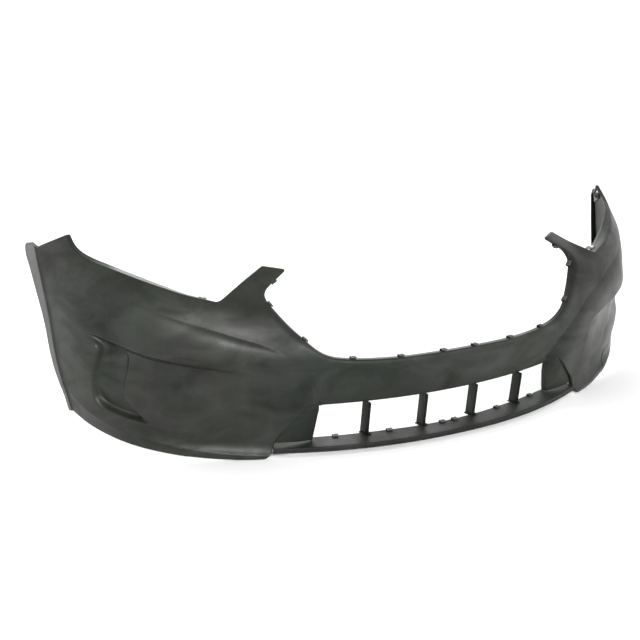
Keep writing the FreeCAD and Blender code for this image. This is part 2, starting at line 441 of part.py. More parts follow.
def thick_patch(grid, wall, flip=False):
    """solid of even wall behind a grid of points (grid[i][j], Vectors)"""
    nu, nv = len(grid), len(grid[0]); back = [[None] * nv for _ in range(nu)]
    for i in range(nu):
        for j in range(nv):
            u = grid[min(i + 1, nu - 1)][j] - grid[max(i - 1, 0)][j]; v = grid[i][min(j + 1, nv - 1)] - grid[i][max(j - 1, 0)]
            n = u.cross(v); n.normalize(); back[i][j] = grid[i][j] + n * (wall if flip else -wall)
    so, sb = grid_surface(grid), grid_surface(back)
    so.segment(0, nu - 1, 0, nv - 1); sb.segment(0, nu - 1, 0, nv - 1)
    fo, fb = so.toShape(), sb.toShape(); sides = []
    for iso, k in (("u", 0), ("u", nu - 1), ("v", 0), ("v", nv - 1)):
        e1 = (so.uIso(k) if iso == "u" else so.vIso(k)).toShape(); e2 = (sb.uIso(k) if iso == "u" else sb.vIso(k)).toShape()
        sides.append(Part.makeRuledSurface(e1, e2))
    sh = Part.makeShell([fo, fb] + sides); sh.sewShape(0.02)
    s = Part.Solid(sh if sh.ShapeType == "Shell" else sh.Shells[0])
    if s.Volume < 0: s.reverse()
    return s
nodes = []          # (label, object)

# holes of the skin: three in each wheel-arch flange, one in each seam flange, one in
# each tongue flange
arch_holes, hole_tools = [], []
def cyl(center, axis, r, length):
    c = Vector(*center) if not isinstance(center, Vector) else center
    d = Vector(*axis) if not isinstance(axis, Vector) else Vector(axis); d.normalize()
    return Part.makeCylinder(r, length, c - d * (length / 2.0), d)
for side in (1, -1):
    for z in (404.0, 262.0, 132.0):
        a = arch_lip(z) * side
        dpt = Dsurf(abs(a), z) - 15.5
        c = at_depth(a, z, dpt, 0)
        c2 = at_depth(a - side * WALL, z, dpt, 0)
        up = at_depth(arch_lip(z + 6) * side, z + 6, Dsurf(abs(arch_lip(z + 6)), z + 6) - 15.5, 0)
        n = plan_n(a); y = Vector(-n[0], -n[1], 0); t = up - c; t.normalize(); ax = t.cross(y); ax.normalize()
        if ax.y < 0: ax = ax * -1
        mid = c - ax * (WALL / 2.0)
        arch_holes.append((side, z, mid, ax))
        hole_tools.append(cyl(mid, ax, dim("arch_hole_dia") / 2, 16.0))
TONGUE_X, TONGUE_Y = 551.0, 31.0
for side in (1, -1):
    hole_tools.append(cyl(V((side * TONGUE_X, TONGUE_Y, -10.5)), Vector(0, 0, 1), 3.2, 9.0))
seam_holes = []
for side in (1, -1):
    a, z = 1152.0 * side, 527.9
    dpt = Dsurf(1152.0, z) - 7.0
    c = at_depth(a, z, dpt, 0); c2 = at_depth(a + side * 6, z - 2.8, dpt, 0); t = c2 - c; t.normalize()
    n = plan_n(a); y = Vector(-n[0], -n[1], 0); ax = t.cross(y); ax.normalize()
    if ax.z < 0: ax = ax * -1
    seam_holes.append((side, c - ax * (WALL / 2.0), ax))
    hole_tools.append(cyl(c - ax * 1.5, ax, 2.6, 9.0))
cut_skin = skin_solid
for tool in hole_tools:
    trial = cut_skin.cut(tool)
    bored = len(trial.Solids) == 1 and len(trial.Faces) > len(cut_skin.Faces) and trial.isValid()
    if not bored or abs(trial.common(tool).Volume) > 1.0: raise RuntimeError("a hole of the skin was not cut")
    cut_skin = trial.Solids[0]
fascia = doc.addObject("Part::Feature", "fascia_skin"); fascia.Shape = cut_skin; fascia.Label = "fascia_skin"
nodes.append(("fascia_skin", fascia))

# ---- lower valance: front lip with a groove, shelf running back under the opening ----
BACK = [(0, -57), (100, -51), (190, -36), (260, -22), (320, -7), (380, 11), (440, 26), (520, 38)]
BK2 = spline_coef([b[0] for b in BACK], [b[1] for b in BACK])
def lip_y(x): return -116.0 + 116.0 * (abs(x) / 510.0) ** 2.15
def back_y(x): return spline_eval([b[0] for b in BACK], [b[1] for b in BACK], BK2, abs(x))
def shelf_top(x, y):
    w = back_y(x) - lip_y(x); s = (y - lip_y(x) - 6.0) / (w - 8.0)
    return 14.2 + 3.8 * min(max(s, 0.0), 1.0)
def valance_section(x, skew=0.0):
    f, w = lip_y(x), back_y(x) - lip_y(x); lip = dim("valance_lip")
    raw = [(1.0, 0.0), (0.0, 1.0), (0.0, 4.6), (1.4, 5.2), (1.4, 7.2), (0.0, 7.8), (0.0, lip - 1.2), (1.8, lip + 0.9), (6.0, 14.2), (w - 2.0, 18.0), (w, 18.0), (w, 15.0), (10.0, 11.4), (4.5, 10.4), (3.0, 9.0), (3.0, 1.0), (2.0, 0.0)]
    pts = []
    for s, z in raw:
        sx = 1 if x >= 0 else -1
        xx = x if not skew else sx * (abs(x) - skew * (0.39 * s + 0.36 * z))
        pts.append(V((xx, f + s, z)))
    return Part.makePolygon(pts + [pts[0]])
half = dim("valance_half")
stations = [-half, -478, -440, -390, -330, -260, -190, -120, -60, 0, 60, 120, 190, 260, 330, 390, 440, 478, half]
valance = Part.makeLoft([valance_section(x, 1.0 if abs(x) == half else 0.0) for x in stations], True, False)
for side in (1, -1):
    xa, xb, xc = 462.0, 476.0, 562.0
    y0, y1 = 23.0, 39.0
    def sbox(x0, x1, yy0, yy1, z0, z1):
        lo, hi = (x0, x1) if side > 0 else (-x1, -x0)
        return Part.makeBox(hi - lo, yy1 - yy0, z1 - z0, V((lo, yy0, z0)))
    tongue = sbox(xa, xc, y0, y1, -8.3, -5.3).fuse(sbox(xa, xb, y0, y1, -8.3, 16.4))
    tongue = tongue.cut(cyl(V((side * TONGUE_X, TONGUE_Y, -6.8)), Vector(0, 0, 1), 3.2, 9.0))
    valance = valance.fuse(tongue)
strut_x = [-dim("strut_outer_x"), -dim("strut_inner_x"), dim("strut_inner_x"), dim("strut_outer_x")]
def strut_front(x): return -80.19 + 0.00032175 * x * x
for x in strut_x:       # an ear of the shelf carries each strut's foot
    rear = strut_front(x) + dim("strut_lean") + dim("strut_depth") + 1.5
    ear = Part.makeBox(24.0, rear - (back_y(x) - 7.0), 3.0, V((x - 6.0, back_y(x) - 7.0, 15.0)))
    valance = valance.fuse(ear)
valance = valance.removeSplitter() if valance.isValid() else valance
if len(valance.Solids) != 1: raise RuntimeError("the valance is not one solid")
val = doc.addObject("Part::Feature", "lower_valance"); val.Shape = valance.Solids[0]; val.Label = "lower_valance"
nodes.append(("lower_valance", val))

# ---- struts of the lower opening: blades with a foot --------------------------------
for k, x in enumerate(strut_x, start=1):
    label = "opening_strut_%d" % k
    d, ln = "dims.strut_depth", "dims.strut_lean"
    y0 = strut_front(x)
    zt, zb = 112.7, 18.03
    low_y = y0 + dim("strut_lean"); drop = zb - shelf_top(x, low_y) - 0.12; kink = back_y(x) - 7.4 - y0
    body = pad_body(label, "YZ_Plane", [("dims.strut_lean", -drop), (kink, 0.0), ("dims.strut_lean + dims.strut_depth", 0.0), (d, zt - zb), (0.0, zt - zb)], "dims.strut_thick")
    foot = polygon_sketch(body, label + "_foot", "XY_Plane", [("-0.5*dims.strut_thick", "dims.strut_lean + 3"), ("dims.strut_foot_wide", "dims.strut_lean + 3"), ("dims.strut_foot_wide", "dims.strut_lean + 3 + dims.strut_foot_len"), ("-0.5*dims.strut_thick", "dims.strut_lean + 3 + dims.strut_foot_len")])
    fpad = body.newObject("PartDesign::Pad", label + "_foot_pad"); fpad.Profile = foot
    fpad.Length = dim("strut_foot_high"); fpad.setExpression("Length", "dims.strut_foot_high")
    body.Tip = fpad
    body.Placement = Placement(V((x, y0, zb)), Rotation())
    body.Label = label
    nodes.append((label, body))
doc.recompute()

# ---- small masters that the groups repeat -------------------------------------------
clip = pad_body("clip_master", "YZ_Plane", [(2.0, 1.2), ("2.0 + dims.clip_wall", 1.2), ("2.0 + dims.clip_wall", "dims.clip_rise - dims.clip_wall"), (14.6, "dims.clip_rise - dims.clip_wall"), (14.6, -3.7), (5.0, -3.7), (5.0, "-3.7 - dims.clip_wall"), ("14.6 + dims.clip_wall", "-3.7 - dims.clip_wall"), ("14.6 + dims.clip_wall", "dims.clip_rise"), (2.0, "dims.clip_rise")], "dims.clip_wide")
screw = doc.addObject("PartDesign::Body", "screw_master")
ssk = polygon_sketch(screw, "screw_profile", "XZ_Plane", [(0.0, -6.0), ("0.5*dims.screw_dia", -6.0), ("0.5*dims.screw_dia", 0.0), ("0.5*dims.screw_head_dia", 0.0), ("0.5*dims.screw_head_dia", "0.6*dims.screw_head_high"), ("0.3*dims.screw_head_dia", "dims.screw_head_high"), (0.0, "dims.screw_head_high")])
srev = screw.newObject("PartDesign::Revolution", "screw_turned"); srev.Profile = ssk
srev.ReferenceAxis = (ssk, ["V_Axis"]); srev.Angle = 360.0; screw.Tip = srev
rivet = doc.addObject("PartDesign::Body", "rivet_master")
rsk = polygon_sketch(rivet, "rivet_profile", "XZ_Plane", [(0.0, -2.4), ("0.5*dims.rivet_dia", -2.4), ("0.5*dims.rivet_dia", 0.0), ("0.5*dims.rivet_head_dia", 0.0), ("0.5*dims.rivet_head_dia", 1.2), ("0.32*dims.rivet_head_dia", 2.6), (0.0, 3.0)])
rrev = rivet.newObject("PartDesign::Revolution", "rivet_turned"); rrev.Profile = rsk
rrev.ReferenceAxis = (rsk, ["V_Axis"]); rrev.Angle = 360.0; rivet.Tip = rrev
doc.recompute()
clip_shape, screw_shape, rivet_shape = clip.Shape.copy(), screw.Shape.copy(), rivet.Shape.copy()
for s in (clip_shape, screw_shape, rivet_shape): s.Placement = Placement()

# screws through the struts' feet, standing on them
shapes = []
for label, body in nodes:
    if not label.startswith("opening_strut"): continue
    b = body.Placement.Base
    zf = b.z + dim("strut_foot_high")
    shapes.append(placed(screw_shape, Placement(Vector(b.x + 8.6, b.y + dim("strut_lean") + 18.0, zf + 0.02), Rotation())))
for (label, body), s in zip([n for n in nodes if n[0].startswith("opening_strut")], shapes):
    c = s.BoundBox.Center
    hsk = body.newObject("Sketcher::SketchObject", label + "_hole")
    hsk.AttachmentSupport = [(role(body, "XY_Plane"), "")]; hsk.MapMode = "FlatFace"
    hx, hy = 8.6, dim("strut_lean") + 18.0
    hsk.addGeometry(Part.Circle(Vector(hx, hy, 0), Vector(0, 0, 1), dim("screw_dia") / 2 + 0.1), False)
    c1 = hsk.addConstraint(Sketcher.Constraint("DistanceX", -1, 1, 0, 3, hx))
    c2 = hsk.addConstraint(Sketcher.Constraint("DistanceY", -1, 1, 0, 3, hy)); hsk.setExpression("Constraints[%d]" % c2, "dims.strut_lean + 18")
    c3 = hsk.addConstraint(Sketcher.Constraint("Radius", 0, dim("screw_dia") / 2 + 0.1)); hsk.setExpression("Constraints[%d]" % c3, "dims.screw_dia/2 + 0.1")
    before = body.Shape.Volume
    pk = body.newObject("PartDesign::Pocket", label + "_screw_hole"); pk.Profile = hsk; pk.Length = 12.0
    try: pk.SideType = "Symmetric"
    except Exception: pk.Midplane = True
    body.Tip = pk
    doc.recompute()
    if not body.Shape.Volume < before - 10: raise RuntimeError(label + ": the screw hole cut nothing")
    # the valance's shelf has the matching hole
    val.Shape = val.Shape.cut(Part.makeCylinder(dim("screw_dia") / 2 + 0.1, 16.0, Vector(c.x, c.y, c.z - 14.0))).Solids[0]
nodes.append(("strut_screws", group_feature("strut_screws", shapes)))

# spring clips along the grille opening's flange: low edge and rising sides
def exact_fraction(target, coord):
    name, pts, ws, rz = loop[0]
    for i in range(len(pts) - 1):
        p, q = pts[i][coord], pts[i + 1][coord]
        if (p - target) * (q - target) <= 0 and p != q: return (i + (target - p) / (q - p)) / (len(pts) - 1.0)
    return 0.5
def clip_group(label, coords):
    out = []
    for target, coord in coords:
        f = exact_fraction(target, coord)
        out.append(placed(clip_shape, edge_frame("grille_r", f)))
        out.append(placed(clip_shape, edge_frame("grille_l", 1.0 - f)))
    nodes.append((label, group_feature(label, out)))
clip_group("grille_low_clips", [(51, 0), (180, 0), (313, 0)])
clip_group("grille_side_clips", [(300, 1), (385, 1), (435, 1)])

# spring clips on the shelf's back edge
shapes = []
for x in (20.0, 179.0, 326.0):
    for side in (1, -1):
        yb = back_y(x); dy = (back_y(x + 2) - back_y(x - 2)) / 4.0
        t = Vector(1.0, dy * side, 0); t.normalize()
        yd = Vector(-t.y, t.x, 0)
        rise = 3.8 / (back_y(x) - lip_y(x) - 8.0)
        yd = yd + Vector(0, 0, rise); yd.normalize()
        p = V((side * x, yb, 18.0)) - yd * 14.3
        shapes.append(placed(clip_shape, frame_placement(p, (t.x, t.y, t.z), (yd.x, yd.y, yd.z))))
nodes.append(("valance_clips", group_feature("valance_clips", shapes)))

# push pins that hold the valance's tongues on the skin's lower flange
shapes = []
for side in (1, -1):
    c = V((side * TONGUE_X, TONGUE_Y, -5.28))
    head = Part.makeCylinder(7.5, 1.6, c).fuse(Part.makeCylinder(4.6, 2.9, c))
    pin = Part.makeCylinder(3.05, 6.1, c - Vector(0, 0, 6.1)).fuse(head)
    shapes.append(pin.removeSplitter())
nodes.append(("valance_push_pins", group_feature("valance_push_pins", shapes)))

# ---- blind panels that close the lower opening's outer corners -----------------------
def panel_grid(side):
    left = [(415.5, 18.4), (413.5, 28), (411.3, 39), (409.2, 49), (407, 60), (404.8, 71), (402.6, 82), (400.8, 92), (399, 103), (399, 114.8)]
    n = len(left) + 2
    diag = [l for l in loop if l[0] == "recess_diag_r"][0][1]; top = [l for l in loop if l[0] == "recess_top_r"][0][1]
    right = resample(diag[:-1] + [(425.5, 122.8)], n)
    left = resample(left, n)
    dl = [(17, -44), (40, -43.5), (60, -42), (82, -40.5), (103, -37), (115, -34.0)]
    gap = dim("panel_gap") + 0.6; rows = []
    for k in range(n):
        la, lz = left[k]; ra, rz_ = right[k]; ra -= gap * 1.25; rz_ -= gap * 0.9
        if k == 0: rz_ = max(rz_, 23.5)
        ld = lerp(dl, lz); rd = Dsurf(right[k][0], right[k][1]) - dim("panel_setback")
        row = []
        for depth in (16.0, 10.0, 4.5, 1.2):
            row.append((la - 0.4, lz, ld - depth))
        m = 9
        for i in range(m):
            s = (i + 0.35) / (m - 0.65)
            row.append((la + (ra - la) * s, lz + (rz_ - lz) * s + 1.5 * math.sin(math.pi * s) * (k / (n - 1.0)) ** 3, ld + (rd - ld) * s + 3.0 * math.sin(math.pi * s)))
        rows.append([at_depth(side * a, z, d, 0) for a, z, d in row])
    return [[rows[j][i] for j in range(n)] for i in range(len(rows[0]))]
for side, word in ((1, "right"), (-1, "left")):
    g = panel_grid(side)
    s = thick_patch(g, dim("panel_wall"), flip=(side < 0))
    f = doc.addObject("Part::Feature", "recess_panel_" + word); f.Shape = s; f.Label = "recess_panel_" + word
    nodes.append(("recess_panel_" + word, f))

# ---- fender rails along the inside of each wing's top seam ---------------------------
def behind(a, z, depth):
    """point on or behind the skin's outer surface, measured square to it, and the
    direction out of the skin there"""
    n = Vector(*skin_normal(a, z))
    return V(P(a, z)) - n * depth, n
rail_holes, rail_rivets = [], []
RAIL_GAP = 0.9
for side, word in ((1, "right"), (-1, "left")):
    g = []
    nA, nZ = 9, 6
    for i in range(nA):
        a = 1122.0 + (1190.0 - 1122.0) * i / (nA - 1)
        ztop = lerp([(1110, 547), (1140, 533.5), (1170, 519.5), (1197, 506)], a) - 7.5
        g.append([behind(side * a, ztop - dim("rail_high") * (1 - j / (nZ - 1.0)), WALL + RAIL_GAP)[0] for j in range(nZ)])
    s = thick_patch(g, dim("rail_thick"), flip=(side < 0))
    for a, hz in ((1139.0, 513.0), (1173.0, 497.0)):
        c, ax = behind(side * a, hz, WALL + RAIL_GAP + dim("rail_thick") / 2)
        rail_holes.append((side, c, ax))
        s = s.cut(cyl(c, ax, dim("rail_hole_dia") / 2, 12.0))
    for a, hz in ((1128.0, 521.0), (1156.0, 502.0), (1184.0, 496.0)):
        base_pt, ax = behind(side * a, hz, WALL + RAIL_GAP + dim("rail_thick"))
        rail_rivets.append(placed(rivet_shape, Placement(base_pt - ax * 0.2, Rotation(Vector(0, 0, 1), ax * -1))))
        s = s.cut(cyl(base_pt, ax, dim("rivet_dia") / 2 + 0.1, 12.0))
    s = s.Solids[0]
    f = doc.addObject("Part::Feature", "fender_rail_" + word); f.Shape = s; f.Label = "fender_rail_" + word
    nodes.append(("fender_rail_" + word, f))
nodes.append(("fender_rail_rivets", group_feature("fender_rail_rivets", rail_rivets)))

# ---- tabs beside the headlamp notch, lying on the sill -------------------------------
tab_rivets, tab_centres = [], []
for side, word in ((1, "right"), (-1, "left")):
    label = "headlamp_tab_" + word
    a = 690.0
    body = pad_body(label, "XY_Plane", [("-0.5*dims.tab_wide", -9.0), ("0.5*dims.tab_wide", -9.0), ("0.5*dims.tab_wide", "dims.tab_long - 14"), ("0.25*dims.tab_wide", "dims.tab_long - 9"), ("-0.25*dims.tab_wide", "dims.tab_long - 9"), ("-0.5*dims.tab_wide", "dims.tab_long - 14")], "dims.tab_thick")
    fr = [l for l in loop if l[0] == ("sill_r" if side > 0 else "sill_l")][0]
    idx = min(range(len(fr[1])), key=lambda i: abs(abs(fr[1][i][0]) - a))
    w, rz_ = fr[2][idx], fr[3][idx]; aa, zz = fr[1][idx]
    d0 = Dsurf(abs(aa), zz)
    p_out, p_in = at_depth(aa, zz, d0, 0), at_depth(aa, zz, d0 - w, rz_)
    nb = fr[1][idx + side]; t = at_depth(nb[0], nb[1], Dsurf(abs(nb[0]), nb[1]), 0) - p_out
    yv = p_in - p_out; yv.normalize(); t = t - yv * t.dot(yv); t.normalize(); zv = t.cross(yv)
    if zv.z < 0: t = t * -1; zv = zv * -1
    origin = p_in - yv * 4.0 + zv * (dim("tab_thick") / 2 + 0.35)
    body.Placement = frame_placement(origin, (t.x, t.y, t.z), (yv.x, yv.y, yv.z))
    hsk = body.newObject("Sketcher::SketchObject", label + "_hole"); hsk.AttachmentSupport = [(role(body, "XY_Plane"), "")]; hsk.MapMode = "FlatFace"
    hsk.addGeometry(Part.Circle(Vector(0, 10.0, 0), Vector(0, 0, 1), dim("tab_hole_dia") / 2), False)
    hsk.addConstraint(Sketcher.Constraint("DistanceY", -1, 1, 0, 3, 10.0)); hsk.addConstraint(Sketcher.Constraint("PointOnObject", 0, 3, -2))
    c3 = hsk.addConstraint(Sketcher.Constraint("Radius", 0, dim("tab_hole_dia") / 2)); hsk.setExpression("Constraints[%d]" % c3, "dims.tab_hole_dia/2")
    hsk.addGeometry(Part.Circle(Vector(0, -4.0, 0), Vector(0, 0, 1), dim("rivet_dia") / 2 + 0.1), False)
    hsk.addConstraint(Sketcher.Constraint("DistanceY", -1, 1, 1, 3, -4.0)); hsk.addConstraint(Sketcher.Constraint("PointOnObject", 1, 3, -2))
    c4 = hsk.addConstraint(Sketcher.Constraint("Radius", 1, dim("rivet_dia") / 2 + 0.1)); hsk.setExpression("Constraints[%d]" % c4, "dims.rivet_dia/2 + 0.1")
    doc.recompute(); before = body.Shape.Volume
    pk = body.newObject("PartDesign::Pocket", label + "_holes"); pk.Profile = hsk; pk.Length = 12.0
    try: pk.SideType = "Symmetric"
    except Exception: pk.Midplane = True
    body.Tip = pk; doc.recompute()
    if not body.Shape.Volume < before - 20: raise RuntimeError(label + ": the holes cut nothing")
    body.Label = label; nodes.append((label, body))
    tab_centres.append((side, origin + yv * 10.0, zv))
    top = origin - yv * 4.0 + zv * (dim("tab_thick") / 2 + 0.02)
    tab_rivets.append(placed(rivet_shape, Placement(top, Rotation(Vector(0, 0, 1), zv))))
nodes.append(("headlamp_tab_rivets", group_feature("headlamp_tab_rivets", tab_rivets)))

# ---- blocks that lock each wing's tip to the headlamp housing ------------------------
shapes = []
for side in (1, -1):
    a, z = 1101.0, 512.0
    slope = (Dsurf(a, z + 6) - Dsurf(a, z - 6)) / 12.0
    nx, ny = plan_n(side * a); ax = Vector(-nx, -ny, 0)
    c = at_depth(side * a, z, Dsurf(a, z) - (WALL + 0.8) * math.sqrt(1 + slope * slope) - 9.0, 0)
    xd = Vector(-ax.y, ax.x, 0)
    b = Part.makeBox(20.0, 12.0, 16.0, Vector(-10.0, -1.0, -8.0)).fuse(Part.makeBox(12.0, 6.0, 9.0, Vector(-6.0, 10.5, -4.5)))
    b = b.cut(Part.makeCylinder(2.6, 30.0, Vector(0, -3, 0), Vector(0, 1, 0)))
    m = frame_placement(c + ax * 0.5, (xd.x, xd.y, 0), (ax.x, ax.y, 0))
    shapes.append(placed(b, m))
nodes.append(("wing_tip_blocks", group_feature("wing_tip_blocks", shapes)))
tip_bores = []
for side, shape in zip((1, -1), shapes):
    nx, ny = plan_n(side * 1101.0)
    a, z = 1101.0, 512.0
    slope = (Dsurf(a, z + 6) - Dsurf(a, z - 6)) / 12.0
    c = at_depth(side * a, z, Dsurf(a, z) - (WALL + 0.8) * math.sqrt(1 + slope * slope) - 9.0, 0)
    tip_bores.append((side, c + Vector(-nx, -ny, 0) * (0.5 + 7.75), Vector(-nx, -ny, 0)))

# ---- checks and output --------------------------------------------------------------
doc.recompute()
problems = []
for obj in doc.Objects:
    if any(word in ("Invalid", "Error") for word in obj.State): problems.append("%s: %s" % (obj.Name, obj.State))
for label, obj in nodes:
    sh = obj.Shape
    if sh.isNull() or not sh.isValid() or not sh.Solids or sh.Volume <= 0: problems.append("%s: shape not valid" % label)
if problems: raise RuntimeError("; ".join(problems))
os.makedirs("parts", exist_ok=True)
low, high = [1e9] * 3, [-1e9] * 3
for label, obj in nodes:
    obj.Shape.exportStep(os.path.join("parts", label + ".step"))
    b = obj.Shape.optimalBoundingBox(False) if len(obj.Shape.Faces) < 60 else None
    print("%-22s solids %2d  volume %10.1f mm3" % (label, len(obj.Shape.Solids), obj.Shape.Volume))
print("nodes", len(nodes))
for side, z, c, ax in arch_holes: print("arch hole", side, z, "centre %.2f %.2f %.2f" % (c.x, c.y, c.z), "axis %.4f %.4f %.4f" % (ax.x, ax.y, ax.z))
for side, c, ax in seam_holes: print("seam hole", side, "centre %.2f %.2f %.2f" % (c.x, c.y, c.z), "axis %.4f %.4f %.4f" % (ax.x, ax.y, ax.z))
for side, c, ax in rail_holes: print("rail hole", side, "centre %.2f %.2f %.2f" % (c.x, c.y, c.z), "axis %.4f %.4f %.4f" % (ax.x, ax.y, ax.z))
for side, c, ax in tab_centres: print("tab hole", side, "centre %.2f %.2f %.2f" % (c.x, c.y, c.z), "axis %.4f %.4f %.4f" % (ax.x, ax.y, ax.z))
for side, c, ax in tip_bores: print("tip bore", side, "centre %.2f %.2f %.2f" % (c.x, c.y, c.z), "axis %.4f %.4f %.4f" % (ax.x, ax.y, ax.z))
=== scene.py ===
import bpy, bmesh, math
import numpy as np
from mathutils import Vector, Matrix, geometry, kdtree, noise


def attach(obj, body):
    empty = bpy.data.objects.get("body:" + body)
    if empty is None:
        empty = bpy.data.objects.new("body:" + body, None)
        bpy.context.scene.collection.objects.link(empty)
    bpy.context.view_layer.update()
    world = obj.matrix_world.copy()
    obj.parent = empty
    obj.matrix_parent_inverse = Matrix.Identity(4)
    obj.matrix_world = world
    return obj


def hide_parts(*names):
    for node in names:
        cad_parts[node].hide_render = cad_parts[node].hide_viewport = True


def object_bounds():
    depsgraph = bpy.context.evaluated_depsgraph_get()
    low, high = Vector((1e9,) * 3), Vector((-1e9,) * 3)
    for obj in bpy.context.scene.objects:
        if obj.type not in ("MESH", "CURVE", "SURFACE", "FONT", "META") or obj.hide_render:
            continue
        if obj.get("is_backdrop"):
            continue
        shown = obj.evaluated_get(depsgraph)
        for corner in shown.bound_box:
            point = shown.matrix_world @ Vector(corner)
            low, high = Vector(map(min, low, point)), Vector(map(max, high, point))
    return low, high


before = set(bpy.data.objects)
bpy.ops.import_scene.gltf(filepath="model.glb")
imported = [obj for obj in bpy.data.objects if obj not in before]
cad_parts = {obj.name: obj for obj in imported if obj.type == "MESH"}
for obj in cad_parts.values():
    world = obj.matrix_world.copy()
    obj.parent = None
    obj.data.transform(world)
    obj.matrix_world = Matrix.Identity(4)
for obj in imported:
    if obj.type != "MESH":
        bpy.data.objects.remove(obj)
CAD_BOX = [list(map(float, c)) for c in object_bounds()]

# Front bumper cover. The tables give the skin in millimetres from the valance's lower
# corner; DY and DZ put them in the frame's coordinates.
DY, DZ, WALL = 172.34, 12.05, 3.0
def M(p): return Vector((p[0] / 1000.0, (p[1] - DY) / 1000.0, (p[2] + DZ) / 1000.0))
# ---- outer surface of the skin: plan curve + offset field D(u, z) -------------------
def spline_coef(x, y):
    n=len(x); u=[0.0]*n; y2=[0.0]*n
    for i in range(1,n-1):
        sig=(x[i]-x[i-1])/(x[i+1]-x[i-1]); p=sig*y2[i-1]+2.0
        y2[i]=(sig-1.0)/p
        u[i]=(y[i+1]-y[i])/(x[i+1]-x[i])-(y[i]-y[i-1])/(x[i]-x[i-1])
        u[i]=(6.0*u[i]/(x[i+1]-x[i-1])-sig*u[i-1])/p
    for i in range(n-2,-1,-1): y2[i]=y2[i]*y2[i+1]+u[i]
    return y2
def spline_eval(x,y,y2,t):
    lo,hi=0,len(x)-1
    while hi-lo>1:
        k=(hi+lo)//2
        if x[k]>t: hi=k
        else: lo=k
    h=x[hi]-x[lo]
    if t<=x[0] or t>=x[-1]:
        if t<=x[0]:
            s=(y[1]-y[0])/h-h*(2*y2[0]+y2[1])/6.0; return y[0]+s*(t-x[0])
        s=(y[-1]-y[-2])/h+h*(2*y2[-1]+y2[-2])/6.0; return y[-1]+s*(t-x[-1])
    a=(x[hi]-t)/h; b=(t-x[lo])/h
    return a*y[lo]+b*y[hi]+((a**3-a)*y2[lo]+(b**3-b)*y2[hi])*h*h/6.0
PLAN=[(0,-113),(100,-109.5),(200,-98.5),(300,-79),(372,-59),(440,-36),(520,-4.5),(600,30),(680,68),(760,113),(820,159),(868,211),(905,268),(932,334),(948,400),(955,460),(957,520),(958,580)]
_P=[(-x,y) for x,y in reversed(PLAN[1:])]+list(PLAN)
_t=[0.0]
for i in range(1,len(_P)): _t.append(_t[-1]+math.hypot(_P[i][0]-_P[i-1][0],_P[i][1]-_P[i-1][1]))
_t=[v-_t[len(PLAN)-1] for v in _t]
_X=[p[0] for p in _P]; _Y=[p[1] for p in _P]
_X2=spline_coef(_t,_X); _Y2=spline_coef(_t,_Y)
def plan(a): return spline_eval(_t,_X,_X2,a), spline_eval(_t,_Y,_Y2,a)
def plan_n(a):
    x0,y0=plan(a-1); x1,y1=plan(a+1); dx,dy=x1-x0,y1-y0; L=math.hypot(dx,dy)
    return dy/L,-dx/L
# band = beam, sill zone and horn; bulge = the full corner body
BAND={0:[(-40,-90),(60,-60),(113,-40),(160,-20),(200,-6),(235,3),(300,0),(420,-60),(600,-240)],
300:[(-40,-90),(60,-60),(113,-40),(160,-20),(200,-6),(235,3),(300,0),(420,-60),(600,-240)],
377:[(-40,-90),(60,-60),(113,-40),(160,-22),(200,-8),(240,0),(253,2),(300,2),(420,-60),(600,-240)],
415:[(-40,-90),(60,-60),(113,-40),(160,-21),(200,-7),(240,3),(260,6),(278,7),(320,-2),(420,-62),(600,-240)],
446:[(-40,-90),(60,-60),(113,-40),(160,-20),(200,-5),(240,5),(260,6),(280,5),(304,-2),(340,-18),(400,-50),(470,-112),(600,-242)],
496:[(-40,-60),(113,-30),(200,6),(240,13),(274,16),(300,7),(320,-3),(340,-12),(361,-23),(400,-46),(440,-82),(470,-110),(600,-240)],
530:[(-40,-40),(113,-15),(200,12),(260,15),(290,14),(310,8),(330,0),(350,-10),(370,-21),(391,-36),(415,-58),(445,-88),(470,-113),(600,-243)],
560:[(-40,-40),(113,-10),(200,10),(280,14),(300,12),(330,2),(350,-7),(370,-18),(385,-29),(400,-43),(415,-58),(455,-98),(600,-243)],
610:[(-40,-40),(113,-10),(200,8),(300,12),(318,10),(340,3),(360,-6),(380,-17),(390,-25),(400,-36),(415,-56),(430,-73),(600,-243)],
656:[(-40,-40),(113,-10),(200,8),(300,11),(333,9),(350,3),(370,-6),(385,-13),(401,-22),(420,-36),(600,-200)],
697:[(-40,-40),(113,-10),(200,6),(320,9),(348,7),(370,-1),(390,-10),(411,-22),(430,-34),(600,-160)],
738:[(-40,-40),(113,-10),(200,6),(330,7),(360,5),(380,-2),(400,-11),(421,-23),(440,-36),(600,-150)],
779:[(-40,-40),(113,-10),(200,6),(340,6),(374,3),(395,-6),(415,-16),(433,-28),(450,-40),(600,-150)],
830:[(-40,-40),(113,-10),(200,6),(350,3),(390,-2),(410,-9),(430,-20),(448,-32),(470,-48),(600,-150)],
892:[(-40,-40),(62,-16),(100,-8),(139,0),(187,8),(243,12),(275,12),(316,8),(378,0),(405,-6),(425,-12),(445,-23),(463,-36),(480,-49),(600,-150)],
980:[(-40,-40),(60,-13),(100,-8),(150,0),(200,6),(260,9),(300,8),(350,3),(400,-4),(440,-13),(465,-25),(485,-38),(500,-49),(600,-130)],
1060:[(-40,-16),(77,-8),(130,-5),(200,0),(260,4),(300,4),(350,2),(400,-3),(450,-12),(490,-22),(512,-31),(600,-80)],
1110:[(-40,-12),(77,-8),(130,-7),(200,-1),(300,2),(350,1),(400,-1),(450,-7),(490,-16),(520,-26),(547,-39),(600,-66)],
1155:[(-40,-12),(77,-8),(130,-7),(217,-1),(325,1),(400,3),(450,2),(490,-3),(515,-10),(560,-26),(600,-40)],
1200:[(-40,-12),(77,-8),(130,-7),(217,-1),(325,2),(415,8),(460,11),(506,13),(540,9),(600,0)],
1290:[(-40,-12),(77,-8),(130,-7),(217,-1),(325,2),(415,8),(460,11),(506,13),(540,14),(600,14)]}
